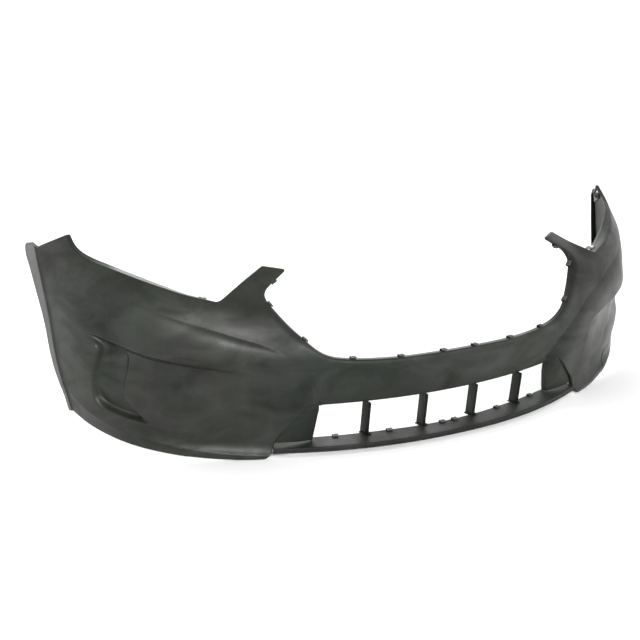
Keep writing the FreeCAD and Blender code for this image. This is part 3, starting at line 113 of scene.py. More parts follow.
BULGE={400:[(-40,-16),(27,-14),(60,-13),(113,-7),(160,0),(200,5),(240,10),(274,12),(300,8),(340,-10),(600,-240)],
446:[(-40,-14),(27,-13),(60,-12),(113,-6),(160,2),(200,8),(240,13),(274,15),(300,10),(340,-8),(600,-240)],
496:[(-40,-14),(27,-13),(60,-12),(113,-5),(160,4),(200,12),(240,19),(274,21),(300,18),(340,0),(600,-240)],
542:[(-40,-12),(30,-11),(60,-9),(113,-1),(160,8),(200,15),(240,21),(270,24),(296,23),(340,8),(420,-50),(600,-230)],
590:[(-40,-12),(30,-9),(60,-6),(113,2),(160,10),(200,17),(240,23),(262,25),(290,25),(312,22),(350,8),(420,-40),(600,-200)],
686:[(-40,-14),(30,-10),(60,-6),(113,4),(160,13),(200,20),(230,24),(262,26),(300,25),(344,17),(380,2),(430,-28),(600,-160)],
781:[(-40,-16),(30,-12),(60,-8),(113,1),(160,10),(200,16),(250,21),(270,22),(300,21),(340,16),(374,9),(410,-8),(450,-32),(600,-150)],
892:[(-40,-24),(30,-18),(62,-15),(100,-8),(139,0),(187,8),(243,13),(275,13),(316,8),(378,0),(405,-6),(425,-12),(445,-23),(463,-36),(480,-49),(600,-150)],
980:None,1060:None,1110:None,1155:None,1200:None,1290:None}
for k in list(BULGE):
    if BULGE[k] is None: BULGE[k]=BAND[k]
GU,GZ,Z0=20.0,10.0,-60.0
NU,NZ=70,70
def _pchip(pts,z):
    xs=[p[0] for p in pts]; ys=[p[1] for p in pts]; n=len(xs)
    if z<=xs[0]: return ys[0]+(ys[1]-ys[0])/(xs[1]-xs[0])*(z-xs[0])
    if z>=xs[-1]: return ys[-1]+(ys[-1]-ys[-2])/(xs[-1]-xs[-2])*(z-xs[-1])
    hh=[xs[i+1]-xs[i] for i in range(n-1)]; dd=[(ys[i+1]-ys[i])/hh[i] for i in range(n-1)]
    def m(i):
        if i==0: return dd[0]
        if i==n-1: return dd[-1]
        return (dd[i-1]*hh[i]+dd[i]*hh[i-1])/(hh[i]+hh[i-1])
    for i in range(n-1):
        if xs[i]<=z<=xs[i+1]:
            s=(z-xs[i])/hh[i]; m0,m1=m(i)*hh[i],m(i+1)*hh[i]
            return ys[i]*(2*s**3-3*s*s+1)+m0*(s**3-2*s*s+s)+ys[i+1]*(3*s*s-2*s**3)+m1*(s**3-s*s)
def _grid(tab):
    us=sorted(tab); G=[[0.0]*NZ for _ in range(NU)]
    for j in range(NZ):
        z=Z0+GZ*j
        col=[(u,_pchip(tab[u],z)) for u in us]
        for i in range(NU): 
            u=max(abs((i-2)*GU),us[0]) if us[0]>0 else abs((i-2)*GU)
            G[i][j]=_pchip(col,u) if u<us[-1] else col[-1][1]
    for _ in range(2):
        H=[r[:] for r in G]
        for i in range(1,NU-1):
            for j in range(NZ): H[i][j]=0.25*G[i-1][j]+0.5*G[i][j]+0.25*G[i+1][j]
        G=[r[:] for r in H]
    return G
_GB=_grid(BAND); _GC=_grid(BULGE)
def _bs(t): return ((1-t)**3/6,(3*t**3-6*t*t+4)/6,(-3*t**3+3*t*t+3*t+1)/6,t**3/6)
def _ev(G,u,z):
    fu=u/GU+2; fz=(z-Z0)/GZ
    i=min(max(int(fu),1),NU-3); j=min(max(int(fz),1),NZ-3)
    bu=_bs(fu-i); bz=_bs(fz-j); r=0.0
    for p in range(4):
        g=G[i-1+p]; r+=bu[p]*(bz[0]*g[j-1]+bz[1]*g[j]+bz[2]*g[j+1]+bz[3]*g[j+2])
    return r
def seg_dist(line,u,z):
    """distance to a polyline, and its side: + on the left of its direction"""
    best=1e18; side=1.0
    for (x0,y0),(x1,y1) in zip(line,line[1:]):
        dx,dy=x1-x0,y1-y0; L2=dx*dx+dy*dy
        t=((u-x0)*dx+(z-y0)*dy)/L2; t=0.0 if t<0 else 1.0 if t>1 else t
        ex,ey=u-x0-t*dx,z-y0-t*dy; d=ex*ex+ey*ey
        if d<best-1e-9: best=d; side=1.0 if dx*(z-y0)-dy*(u-x0)>=0 else -1.0
    return math.sqrt(best)*side
def ss(t): t=0.0 if t<0 else 1.0 if t>1 else t; return t*t*(3-2*t)
def lerp(tab,u):
    if u<=tab[0][0]: return tab[0][1]
    for (a,b),(c,d) in zip(tab,tab[1:]):
        if u<=c: return b+(d-b)*(u-a)/(c-a)
    return tab[-1][1]
def smooth(line,n=8):
    """Catmull-Rom through the points"""
    out=[]
    for i in range(len(line)-1):
        p0=line[max(i-1,0)]; p1=line[i]; p2=line[i+1]; p3=line[min(i+2,len(line)-1)]
        for k in range(n):
            t=k/n
            out.append(tuple(0.5*((2*p1[c])+(-p0[c]+p2[c])*t+(2*p0[c]-5*p1[c]+4*p2[c]-p3[c])*t*t+(-p0[c]+3*p1[c]-3*p2[c]+p3[c])*t**3) for c in (0,1)))
    out.append(line[-1]); return out
CREASE=smooth([(378,60),(388,113),(402,150),(428,195),(455,232),(478,256),(500,276),(542,296),(590,312),(638,328),(686,344),(734,359),(781,374),(830,390),(880,405),(930,418),(1000,438),(1300,520)],3)
def base(u,z):
    b=_ev(_GB,u,z)
    if u<370: return b
    c=_ev(_GC,u,z)
    d=-seg_dist(CREASE,u,z)
    if d<=0: return b
    lam=16.0 if u>520 else 16.0+10*ss((520-u)/60)
    w=1-math.exp(-d/lam)
    return b+(c-b)*w
# ---- feature lines (u, z) -----------------------------------------------------------
SILL=[(657,401),(697,411),(738,421),(779,433),(821,445),(865,457),(912,469),(962,481),(1014,494),(1057,510),(1083,525),(1110,547)]
ARCH=[(1101,40),(1102,77),(1110,130),(1135,217),(1156,325),(1177,415),(1197,506),(1208,560)]
LIPW=[(60,8),(100,9),(300,14),(492,21),(560,22)]
LEDGE_T=smooth([(540,212),(600,232),(647,243),(741,263),(811,276),(865,291),(905,301),(942,309),(985,318),(1040,330)],3)
LEDGE_B=smooth([(540,206),(600,221),(641,230),(713,237),(775,245),(850,259),(903,279),(942,296),(985,312),(1040,330)],3)
LSTEP=[(560,0),(600,3),(647,9),(713,16),(775,21),(850,24),(905,24),(945,20),(975,9),(1000,0)]
SCOOP_L=smooth([(1010,325),(975,300),(962,276),(978,217),(986,184),(988,151),(980,134),(959,117),(911,101),(842,88),(800,80),(760,74)],4)
PANEL_E=smooth([(880,300),(886,246),(893,207),(900,171),(897,154),(877,124),(842,93),(800,80)],4)
CHIN_C=smooth([(500,-6),(542,-2),(640,7),(737,21),(806,34),(866,48),(917,62),(960,76),(1010,96),(1060,120),(1120,150)],3)
CHIN_F=[(480,4),(520,9),(545,11),(650,12),(750,10),(850,7),(950,4),(1020,1),(1060,0)]
def zline(line,u):
    return lerp(line,u)
def D(u,z):
    d=base(u,z)
    # ledge under the bulge, its step fading down into the lower corner
    if 560<u<1005:
        zt,zb=zline(LEDGE_T,u),zline(LEDGE_B,u); s=lerp(LSTEP,u)
        k=ss((zt-z)/max(zt-zb,3.0))
        if k>0 and s>0:
            low=1-0.92*ss((zb-25-z)/115.0)
            side=ss(0.5+(-seg_dist(SCOOP_L,u,z))/12.0) if u>740 and z<330 else 1.0
            d-=s*k*low*side
    # blind pocket at the rear end of the recessed panel
    if 760<u<1000 and 60<z<320:
        sl=-seg_dist(SCOOP_L,u,z); sp=seg_dist(PANEL_E,u,z)
        if sl>-6 and sp>-6:
            zt=zline(LEDGE_B,u)
            p=ss((sl+5)/14.0)*ss((sp+3)/13.0)*(1-ss((z-zt+18)/22.0))
            deep=9+11*ss((215-z)/95.0)
            d-=p*deep
    # chin: short flare to its crease, turned under below it
    if u>470 and z<170:
        zc=zline(CHIN_C,u); f=lerp(CHIN_F,u)
        if z>=zc: d+=f*max(0.0,1-(z-zc)/30.0)**2
        else: d+=f-0.16*(zc-z)
    # wheel-arch lip, flared outward past the fold
    if u>1060:
        af=0.0; zz=z
        af=lerp([(q[1],q[0]) for q in ARCH],zz)
        if u>af-3: 
            x=u-af; d+=0.5*(x+math.sqrt(x*x+4.0))*0.95-0.0
    return d
# grille-opening edge (u, z) and its rolled border
GRILLE=smooth([(0,236),(80,236),(160,236.5),(240,239),(300,242.5),(350,248),(379,256),(408,273),(446,306),(476,333),(510,369),(530,393),(535,404),(534,413),(525,424),(500,442),(472,461)],3)
def roll(u,z):
    """inward roll of the border next to the grille opening"""
    if u>600 or z<190: return 0.0
    g=seg_dist(GRILLE,u,z); g=abs(g)
    R=17.0 if z<400 else 17.0-9.0*ss((z-400)/30.0)
    if g>=R: return 0.0
    t=1-g/R
    return 9.0*(1-math.sqrt(max(0.0,1-t*t)))*(R/17.0)
def Dsurf(u,z): return D(u,z)-roll(u,z)
def P(a,z,off=0.0,d=None):
    x,y=plan(a); nx,ny=plan_n(a); o=(Dsurf(abs(a),z) if d is None else d)+off
    return (x+nx*o,y+ny*o,z)

# ---- materials: moulded plastics and small metal parts, all procedural -----------------
def node_mat(name):
    m = bpy.data.materials.new(name); m.use_nodes = True; m.node_tree.nodes.clear()
    return m, m.node_tree.nodes, m.node_tree.links
def moulded(name, base, rough, grain=0.06, grain_scale=1400.0, mottle=0.22, scuff=0.5, edge=0.35, coat=0.0, spec=0.5, metallic=0.0, tint=(0.0, 0.004, -0.002), flow=0.35):
    """satin moulded surface: cloudy colour, faint scuffs, fine grain, worn lighter edges, and a painted reflection on
    the arch lip
    """
    m, N, L = node_mat(name)
    out = N.new("ShaderNodeOutputMaterial"); bs = N.new("ShaderNodeBsdfPrincipled"); L.new(bs.outputs[0], out.inputs[0])
    co = N.new("ShaderNodeTexCoord"); pos = co.outputs["Object"]
    def mapping(sx, sy, sz, rot=(0, 0, 0)):
        mp = N.new("ShaderNodeMapping"); mp.inputs["Scale"].default_value = (sx, sy, sz); mp.inputs["Rotation"].default_value = rot
        L.new(pos, mp.inputs["Vector"]); return mp.outputs[0]
    def noise_tex(scale, detail, vec=None, rough_=0.55, dist=0.0):
        n = N.new("ShaderNodeTexNoise"); n.inputs["Scale"].default_value = scale; n.inputs["Detail"].default_value = detail
        n.inputs["Roughness"].default_value = rough_; n.inputs["Distortion"].default_value = dist
        L.new(vec if vec is not None else pos, n.inputs["Vector"]); return n.outputs["Fac"]
    def remap(src, a, b, c, d):
        r = N.new("ShaderNodeMapRange"); r.inputs[1].default_value = a; r.inputs[2].default_value = b; r.inputs[3].default_value = c; r.inputs[4].default_value = d
        L.new(src, r.inputs[0]); return r.outputs[0]
    def mth(op, a, b, clamp=False):
        n = N.new("ShaderNodeMath"); n.operation = op; n.use_clamp = clamp
        for i, v in enumerate((a, b)):
            if isinstance(v, (int, float)): n.inputs[i].default_value = v
            else: L.new(v, n.inputs[i])
        return n.outputs[0]
    def mix(fac, ca, cb):
        n = N.new("ShaderNodeMix"); n.data_type = "RGBA"
        if isinstance(fac, (int, float)): n.inputs[0].default_value = fac
        else: L.new(fac, n.inputs[0])
        for i, c in ((6, ca), (7, cb)):
            if isinstance(c, tuple): n.inputs[i].default_value = (*c, 1.0)
            else: L.new(c, n.inputs[i])
        return n.outputs[2]
    lo = tuple(max(c * (1 - mottle), 0.002) for c in base); hi = tuple(c * (1 + mottle) + t for c, t in zip(base, tint))
    cloud = remap(noise_tex(5.0, 4.0, dist=0.6), 0.3, 0.7, 0.0, 1.0)
    col = mix(cloud, lo, hi)
    streak = remap(noise_tex(34.0, 6.0, mapping(1.0, 1.0, 0.28, (0.0, 0.25, 0.3))), 0.52, 0.74, 0.0, 1.0)
    dusty = tuple(c * 1.55 + 0.006 for c in base)
    col = mix(mth("MULTIPLY", streak, 0.32 * scuff), col, dusty)
    fine = remap(noise_tex(420.0, 3.0), 0.35, 0.65, 0.0, 1.0)
    col = mix(mth("MULTIPLY", fine, 0.18), col, tuple(c * 0.72 for c in base))
    geo = N.new("ShaderNodeNewGeometry")
    wear = remap(geo.outputs["Pointiness"], 0.53, 0.62, 0.0, 1.0)
    wear = mth("MULTIPLY", wear, remap(noise_tex(60.0, 4.0), 0.35, 0.65, 0.25, 1.0))
    col = mix(mth("MULTIPLY", wear, edge), col, tuple(min(c * 2.6 + 0.02, 0.9) for c in base))
    olive = remap(noise_tex(3.1, 3.0, mapping(1.0, 1.0, 1.6), dist=0.8), 0.45, 0.68, 0.0, 0.55)
    col = mix(olive, col, tuple(c * k for c, k in zip(base, (1.06, 1.02, 0.74))))
    teal = remap(noise_tex(4.3, 3.0, mapping(1.3, 1.3, 1.0, (0.4, 0.2, 1.1)), dist=0.8), 0.48, 0.70, 0.0, 0.55)
    col = mix(teal, col, tuple(c * k for c, k in zip(base, (0.74, 0.98, 0.92))))
    # painted reflection: the strip outside the wheel-arch fold ('lip' attribute) is mixed towards a lighter grey,
    # broken up by noise
    lip = N.new("ShaderNodeAttribute"); lip.attribute_name = "lip"
    painted_reflection_fac = mth("MULTIPLY", lip.outputs["Fac"], remap(noise_tex(26.0, 4.0), 0.3, 0.7, 0.75, 1.0))
    col = mix(painted_reflection_fac, col, (0.105, 0.106, 0.105))
    L.new(col, bs.inputs["Base Color"])
    r0 = remap(noise_tex(9.0, 5.0, dist=0.4), 0.3, 0.7, rough - 0.05, rough + 0.06)
    r1 = mth("ADD", r0, mth("MULTIPLY", streak, 0.10 * scuff)); r2 = mth("ADD", r1, mth("MULTIPLY", fine, 0.03), True)
    L.new(r2, bs.inputs["Roughness"])
    bs.inputs["Metallic"].default_value = metallic
    haze = remap(noise_tex(6.5, 5.0, mapping(1.0, 1.0, 1.9, (0.2, 0.0, 0.5)), dist=0.9), 0.32, 0.68, spec * 0.50, spec * 1.60)
    L.new(haze, bs.inputs["Specular IOR Level"])
    bs.inputs["Coat Weight"].default_value = coat; bs.inputs["Coat Roughness"].default_value = 0.3
    vor = N.new("ShaderNodeTexVoronoi"); vor.inputs["Scale"].default_value = grain_scale; L.new(pos, vor.inputs["Vector"])
    hgt = mth("ADD", mth("MULTIPLY", vor.outputs["Distance"], grain), mth("MULTIPLY", noise_tex(7.0, 2.0, mapping(1.0, 1.0, 2.4)), flow))
    hgt = mth("ADD", hgt, mth("MULTIPLY", noise_tex(110.0, 3.0), 0.05))
    bp = N.new("ShaderNodeBump"); bp.inputs["Strength"].default_value = 0.28; bp.inputs["Distance"].default_value = 0.0009
    L.new(hgt, bp.inputs["Height"]); L.new(bp.outputs[0], bs.inputs["Normal"])
    return m
def metal(name, base, rough, spec=0.5, stain=0.4):
    """stamped and coated metal: brushed grain, stains, bright worn corners"""
    m, N, L = node_mat(name)
    out = N.new("ShaderNodeOutputMaterial"); bs = N.new("ShaderNodeBsdfPrincipled"); L.new(bs.outputs[0], out.inputs[0])
    co = N.new("ShaderNodeTexCoord")
    mp = N.new("ShaderNodeMapping"); mp.inputs["Scale"].default_value = (1.0, 1.0, 14.0); L.new(co.outputs["Object"], mp.inputs[0])
    n1 = N.new("ShaderNodeTexNoise"); n1.inputs["Scale"].default_value = 160.0; n1.inputs["Detail"].default_value = 5.0; L.new(mp.outputs[0], n1.inputs["Vector"])
    n2 = N.new("ShaderNodeTexNoise"); n2.inputs["Scale"].default_value = 55.0; n2.inputs["Detail"].default_value = 4.0; L.new(co.outputs["Object"], n2.inputs["Vector"])
    rp = N.new("ShaderNodeValToRGB"); rp.color_ramp.elements[0].position = 0.3; rp.color_ramp.elements[1].position = 0.72
    rp.color_ramp.elements[0].color = (*[c * (1 - stain) for c in base], 1); rp.color_ramp.elements[1].color = (*[min(c * (1 + stain * 0.6), 1) for c in base], 1)
    L.new(n2.outputs["Fac"], rp.inputs["Fac"])
    geo = N.new("ShaderNodeNewGeometry"); mr = N.new("ShaderNodeMapRange"); mr.inputs[1].default_value = 0.54; mr.inputs[2].default_value = 0.64
    L.new(geo.outputs["Pointiness"], mr.inputs[0])
    mx = N.new("ShaderNodeMix"); mx.data_type = "RGBA"; L.new(mr.outputs[0], mx.inputs[0]); L.new(rp.outputs[0], mx.inputs[6]); mx.inputs[7].default_value = (*[min(c * 2.2 + 0.1, 1) for c in base], 1)
    L.new(mx.outputs[2], bs.inputs["Base Color"]); bs.inputs["Metallic"].default_value = 0.9
    r = N.new("ShaderNodeMapRange"); r.inputs[3].default_value = rough - 0.08; r.inputs[4].default_value = rough + 0.15; L.new(n1.outputs["Fac"], r.inputs[0]); L.new(r.outputs[0], bs.inputs["Roughness"])
    bp = N.new("ShaderNodeBump"); bp.inputs["Strength"].default_value = 0.25; bp.inputs["Distance"].default_value = 0.0002; L.new(n1.outputs["Fac"], bp.inputs["Height"]); L.new(bp.outputs[0], bs.inputs["Normal"])
    return m
MAT = {
    "skin": moulded("skin_satin", (0.0118, 0.0121, 0.0115), 0.35, spec=0.235, mottle=0.34, scuff=0.9),
    "valance": moulded("valance_grained", (0.0110, 0.0112, 0.0109), 0.50, grain=0.5, grain_scale=700.0, edge=0.25, spec=0.20),
    "strut": moulded("strut_satin", (0.0055, 0.0058, 0.0056), 0.50, edge=0.45, spec=0.12),
    "panel": moulded("panel_satin", (0.0110, 0.0115, 0.0108), 0.44, spec=0.22),
    "rail": moulded("rail_matt", (0.10, 0.102, 0.10), 0.62, grain=0.35, grain_scale=900.0, mottle=0.15),
    "pin": moulded("pin_matt", (0.017, 0.017, 0.018), 0.55, grain=0.25, grain_scale=1200.0),
    "clip": metal("clip_phosphate", (0.045, 0.045, 0.047), 0.42),
    "screw": metal("screw_coated", (0.10, 0.10, 0.105), 0.36),
    "rivet": metal("rivet_plain", (0.55, 0.55, 0.56), 0.33, stain=0.2),
}
PIECES = []
def finish_piece(name, me, material, node, smooth=35.0):
    """object of a finished mesh; riding the body and standing for its CAD node"""
    o = bpy.data.objects.new(name, me); bpy.context.scene.collection.objects.link(o)
    me.materials.clear(); me.materials.append(MAT[material])
    if smooth:
        for p in me.polygons: p.use_smooth = True
        bm = bmesh.new(); bm.from_mesh(me)
        lim = math.radians(smooth)
        for e in bm.edges:
            e.smooth = not (len(e.link_faces) == 2 and e.calc_face_angle(0.0) > lim)
        bm.to_mesh(me); bm.free()
    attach(o, "root")
    if node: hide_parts(node)
    PIECES.append(o); return o

# ---- the skin's edge, as a dense closed line with rounded corners --------------------
def arch_lip(z):
    return lerp([(q[1], q[0]) for q in ARCH], z) + lerp(LIPW, z)
BEAM_F, GRILLE_F, HORN_F, CHIN_F_, TONGUE_F, CORNER_F, RECESS_F, SEAM_F, ARCH_FL = 22.0, 14.0, 9.0, 12.0, 36.0, 13.0, 14.0, 11.0, 28.0
SEG = [
    ("grille", GRILLE[:], [(0, GRILLE_F, 0), (0.8, GRILLE_F, 0), (1, HORN_F, 0)]),
    ("horn_tip", [(472, 461), (505, 465.5), (538, 470)], [(0, HORN_F, 0), (1, HORN_F, 0)]),
    ("horn_outer", [(538, 470), (572, 449.5), (606, 429), (640, 408.5)], [(0, HORN_F, 0), (0.8, HORN_F, -2), (1, 14.0, -4)]),
    ("notch", [(640, 408.5), (645.5, 405.2), (652, 402.6), (659, 402.0), (668, 403.6)], [(0, 14.0, -4), (1, 28.0, -6)]),
    ("sill", [(668, 403.6)] + SILL[1:], [(0, 28.0, -6), (0.1, 38.0, -7), (0.2, 38.0, -6.5), (0.3, 34.0, -4), (0.42, 30.0, -2), (0.55, 23.0, 0), (0.66, 16.5, 3), (0.78, 13.5, 3), (0.9, 12.0, 1), (1, SEAM_F, 0)]),
    ("seam", [(1110, 547), (1140, 533.5), (1170, 519.5), (1197, 506)], [(0, SEAM_F, 0), (1, SEAM_F, 0)]),
    ("lip_top", [(1197, 506), (1207, 514), (1218, 523)], [(0, SEAM_F, 0), (1, 16.0, 0)]),
    ("lip", [(1218, 523)] + [(arch_lip(z), z) for z in (490, 460, 415, 370, 325, 270, 217, 170, 130, 100)] + [(1111, 77)], [(0, 16.0, 0), (0.06, ARCH_FL, 0), (0.9, ARCH_FL, 0), (1, 16.0, 0)]),
    ("lip_foot", [(1111, 77), (1107, 77), (1102, 77.5)], [(0, 16.0, 0), (1, CHIN_F_, 0)]),
    ("chin", [(1102, 77.5), (1080, 72), (1052, 63), (1020, 53.5), (999, 47), (970, 38.5), (942, 31), (900, 23), (866, 17.5), (813, 10), (775, 4.5), (737, -0.5), (690, -5.5), (640, -9), (600, -11), (566, -12), (549, -12)], [(0, CHIN_F_, 0), (0.86, CHIN_F_, 0), (0.9, TONGUE_F, 0), (0.97, TONGUE_F, 0), (1, CORNER_F, 0)]),
    ("corner", [(549, -12), (541, -10), (534, -5), (528, 3), (523, 14), (519, 27)], [(0, CORNER_F, 0), (1, RECESS_F, 0)]),
    ("recess_diag", [(519, 27), (507, 46), (482, 71), (452, 101), (424, 124)], [(0, RECESS_F, 0), (1, RECESS_F, 0)]),
    ("recess_top", [(424, 124), (415, 122.5), (403, 118.5), (392, 114)], [(0, RECESS_F, 0), (1, BEAM_F, 0)]),
    ("beam", [(392, 114), (300, 114), (200, 113.5), (100, 113), (0, 113)], [(0, BEAM_F, 0), (1, BEAM_F, 0)]),
]
def resample(pts, n):
    L = [0.0]
    for p, q in zip(pts, pts[1:]): L.append(L[-1] + math.hypot(q[0] - p[0], q[1] - p[1]))
    xs, ys = [p[0] for p in pts], [p[1] for p in pts]
    if len(pts) > 3:
        x2, y2 = spline_coef(L, xs), spline_coef(L, ys)
        f = lambda t: (spline_eval(L, xs, x2, t), spline_eval(L, ys, y2, t))
    else:
        f = lambda t: (lerp(list(zip(L, xs)), t), lerp(list(zip(L, ys)), t))
    return [f(L[-1] * k / (n - 1)) for k in range(n)]
CORNER_R = {"horn_tip": 5.0, "horn_outer": 6.0, "seam": 7.0, "lip_top": 5.0, "lip": 5.0, "lip_foot": 5.0, "chin": 4.0, "recess_diag": 30.0, "recess_top": 7.0, "beam": 6.0, "corner": 5.0}
segs = []
for name, pts, table in SEG:
    length = sum(math.hypot(q[0] - p[0], q[1] - p[1]) for p, q in zip(pts, pts[1:]))
    n = max(5, int(length / 3.2) + 2)
    rs = resample(pts, n)
    tw = [(f, w) for f, w, r in table]; tr = [(f, r) for f, w, r in table]
    segs.append((name, [(p[0], p[1], lerp(tw, k / (n - 1)), lerp(tr, k / (n - 1))) for k, p in enumerate(rs)]))
def cut_from(line, dist, at_end):
    """the line without its last (or first) dist, with an exact new end point"""
    pts = line[::-1] if at_end else line[:]
    left = dist; i = 0
    while i < len(pts) - 2:
        d = math.hypot(pts[i + 1][0] - pts[i][0], pts[i + 1][1] - pts[i][1])
        if d > left: break
        left -= d; i += 1
    d = math.hypot(pts[i + 1][0] - pts[i][0], pts[i + 1][1] - pts[i][1]); f = min(max(left / max(d, 1e-9), 0.0), 0.9)
    new = tuple(pts[i][c] + (pts[i + 1][c] - pts[i][c]) * f for c in range(4))
    out = [new] + [p for p in pts[i + 1:] if math.hypot(p[0] - new[0], p[1] - new[1]) > 0.8]
    return out[::-1] if at_end else out
edge = list(segs[0][1]); tags = ["grille"] * len(edge)
for name, line in segs[1:]:
    p, c, q = edge[-2], edge[-1], line[1]
    a0 = math.atan2(c[1] - p[1], c[0] - p[0]); a1 = math.atan2(q[1] - c[1], q[0] - c[0])
    turn = (a1 - a0 + math.pi) % (2 * math.pi) - math.pi
    if abs(turn) > 0.14:
        R = CORNER_R.get(name, 5.0); d = min(R * math.tan(abs(turn) / 2), 14.0)
        e1 = cut_from(edge, d, True); l1 = cut_from(line, d, False)
        A, B = e1[-1], l1[0]
        n = max(3, int(abs(turn) / 0.16))
        arc = []
        for k in range(1, n):
            t = k / n; w = 0.72
            b0, b1, b2 = (1 - t) ** 2, 2 * t * (1 - t) * w, t * t; s = b0 + b1 + b2
            arc.append(tuple((b0 * A[i] + b1 * c[i] + b2 * B[i]) / s for i in range(4)))
        tags = tags[:len(e1)]
        edge = e1 + arc + l1; tags += [name] * (len(arc) + len(l1))
    else:
        edge += line[1:]; tags += [name] * (len(line) - 1)
NE = len(edge)
def edge_normal(k):
    """unit vector in (a, z) from the edge into the skin"""
    p, q = edge[max(k - 1, 0)], edge[min(k + 1, NE - 1)]
    if k == 0: return (0.0, -1.0)
    if k == NE - 1: return (0.0, 1.0)
    dx, dz = q[0] - p[0], q[1] - p[1]; L = math.hypot(dx, dz); return (dz / L, -dx / L)
EN = [edge_normal(k) for k in range(NE)]

# ---- points of the skin's surface -----------------------------------------------------
inset3 = [(edge[k][0] + EN[k][0] * WALL, edge[k][1] + EN[k][1] * WALL) for k in range(NE)]
inset3[0] = (0.0, inset3[0][1]); inset3[-1] = (0.0, inset3[-1][1])
mid = []
z0, z1 = inset3[-1][1], inset3[0][1]
nmid = int((z1 - z0) / 3.2)
for k in range(1, nmid): mid.append((0.0, z0 + (z1 - z0) * k / nmid))
outline = inset3 + mid
ol = np.array(outline); el = np.array([(e[0], e[1]) for e in edge])
kd = kdtree.KDTree(NE)
for k, e in enumerate(edge): kd.insert((e[0], e[1], 0), k)
kd.balance()
def edge_dist(a, z):
    co, k, d = kd.find((a, z, 0))
    best = d
    for j in (k - 1, k):
        if 0 <= j < NE - 1:
            x0, y0 = edge[j][0], edge[j][1]; dx, dy = edge[j + 1][0] - x0, edge[j + 1][1] - y0; L2 = dx * dx + dy * dy
            if L2 < 1e-9: continue
            t = min(max(((a - x0) * dx + (z - y0) * dy) / L2, 0.0), 1.0)
            best = min(best, math.hypot(a - x0 - t * dx, z - y0 - t * dy))
    return best
def inside(pts):
    """points within the outline, by ray casting"""
    res = np.zeros(len(pts), bool); x, y = pts[:, 0], pts[:, 1]
    xs, ys = ol[:, 0], ol[:, 1]; j = len(ol) - 1
    for i in range(len(ol)):
        c = ((ys[i] > y) != (ys[j] > y))
        if c.any():
            xi = (xs[j] - xs[i]) * (y - ys[i]) / (ys[j] - ys[i] + 1e-30) + xs[i]
            res ^= c & (x < xi)
        j = i
    return res
STEP_A, STEP_Z = 3.6, 3.2
cells = {}
def near_taken(a, z, r):
    ca, cz = int(a // 4), int(z // 4); m = int(r // 4) + 1
    for i in range(ca - m, ca + m + 1):
        for j in range(cz - m, cz + m + 1):
            for (x, y) in cells.get((i, j), ()):
                if (x - a) ** 2 + (y - z) ** 2 < r * r: return True
    return False
def take(a, z): cells.setdefault((int(a // 4), int(z // 4)), []).append((a, z))
points = list(outline); chains = []
for p in outline: take(*p)
def dense(line, step):
    out = [line[0]]
    for p, q in zip(line, line[1:]):
        L = math.hypot(q[0] - p[0], q[1] - p[1]); n = max(1, int(round(L / step)))
        for k in range(1, n + 1): out.append((p[0] + (q[0] - p[0]) * k / n, p[1] + (q[1] - p[1]) * k / n))
    return out
def add_chain(line, clear=3.2):
    """constraint line, kept where it lies inside the outline"""
    pts = dense(line, 3.2); ok = inside(np.array(pts)); run = []
    for p, o in zip(pts, ok):
        if o and edge_dist(*p) > WALL + clear * 0.5: run.append(p)
        else:
            if len(run) > 1: chains.append(run)
            run = []
    if len(run) > 1: chains.append(run)
add_chain([p for p in CREASE if p[0] < 1075]); add_chain(CHIN_C)
chain_edges = []
for run in chains:
    base_i = len(points)
    for p in run: points.append(p); take(*p)
    chain_edges += [(base_i + k, base_i + k + 1) for k in range(len(run) - 1)]
# rows alongside the edge: closer together where the border rolls over
for k in range(1, NE - 1):
    tag = tags[k]
    rows = (4.6, 6.6, 9.0, 12.0, 15.5, 19.0) if tag == "grille" else (5.5, 8.5)
    for d in rows:
        a, z = edge[k][0] + EN[k][0] * d, edge[k][1] + EN[k][1] * d
        if a < 0.8: continue
        if edge_dist(a, z) < d - 0.25 or near_taken(a, z, 1.7): continue
        if not inside(np.array([(a, z)]))[0]: continue
        points.append((a, z)); take(a, z)
# rows alongside the wheel-arch fold
for z in np.arange(80.0, 520.0, 3.4):
    f = lerp([(q[1], q[0]) for q in ARCH], z)
    for d in (-7.0, -5.0, -3.5, -2.2, -1.1, 0.0, 1.1, 2.3, 3.8, 6.0):
        a = f + d
        if near_taken(a, z, 1.0) or edge_dist(a, z) < WALL + 1.2 or not inside(np.array([(a, z)]))[0]: continue
        points.append((a, z)); take(a, z)
ga = np.arange(STEP_A * 0.9, 1225.0, STEP_A); gz = np.arange(-14.0, 560.0, STEP_Z)
GA, GZ_ = np.meshgrid(ga, gz); GA = GA + ((np.arange(len(gz)) % 2) * STEP_A * 0.5)[:, None]
cand = np.stack([GA.ravel(), GZ_.ravel()], 1); cand = cand[inside(cand)]
for a, z in cand:
    if near_taken(a, z, 2.1): continue
    points.append((float(a), float(z)))
loop_edges = [(k, (k + 1) % len(outline)) for k in range(len(outline))]
v2, e2, f2, ov, oe, of_ = geometry.delaunay_2d_cdt([Vector(p) for p in points], loop_edges + chain_edges, [], 1, 1e-4)

# ---- skin mesh: outer and inner faces, rounded edge, return flange ---------------------
V2 = [(float(v[0]), float(v[1])) for v in v2]
orig = {}
for i, src in enumerate(ov):
    for s_ in src: orig[s_] = i
ring = [orig[k] for k in range(len(outline))]          # outline vertices in the triangulation
NH = len(V2)
right = np.array([P(a, z) for a, z in V2], float)
right[:, 0] = np.where(np.abs(np.array(V2)[:, 0]) < 1e-3, 0.0, right[:, 0])
tris = [tuple(f) for f in f2 if len(f) == 3]
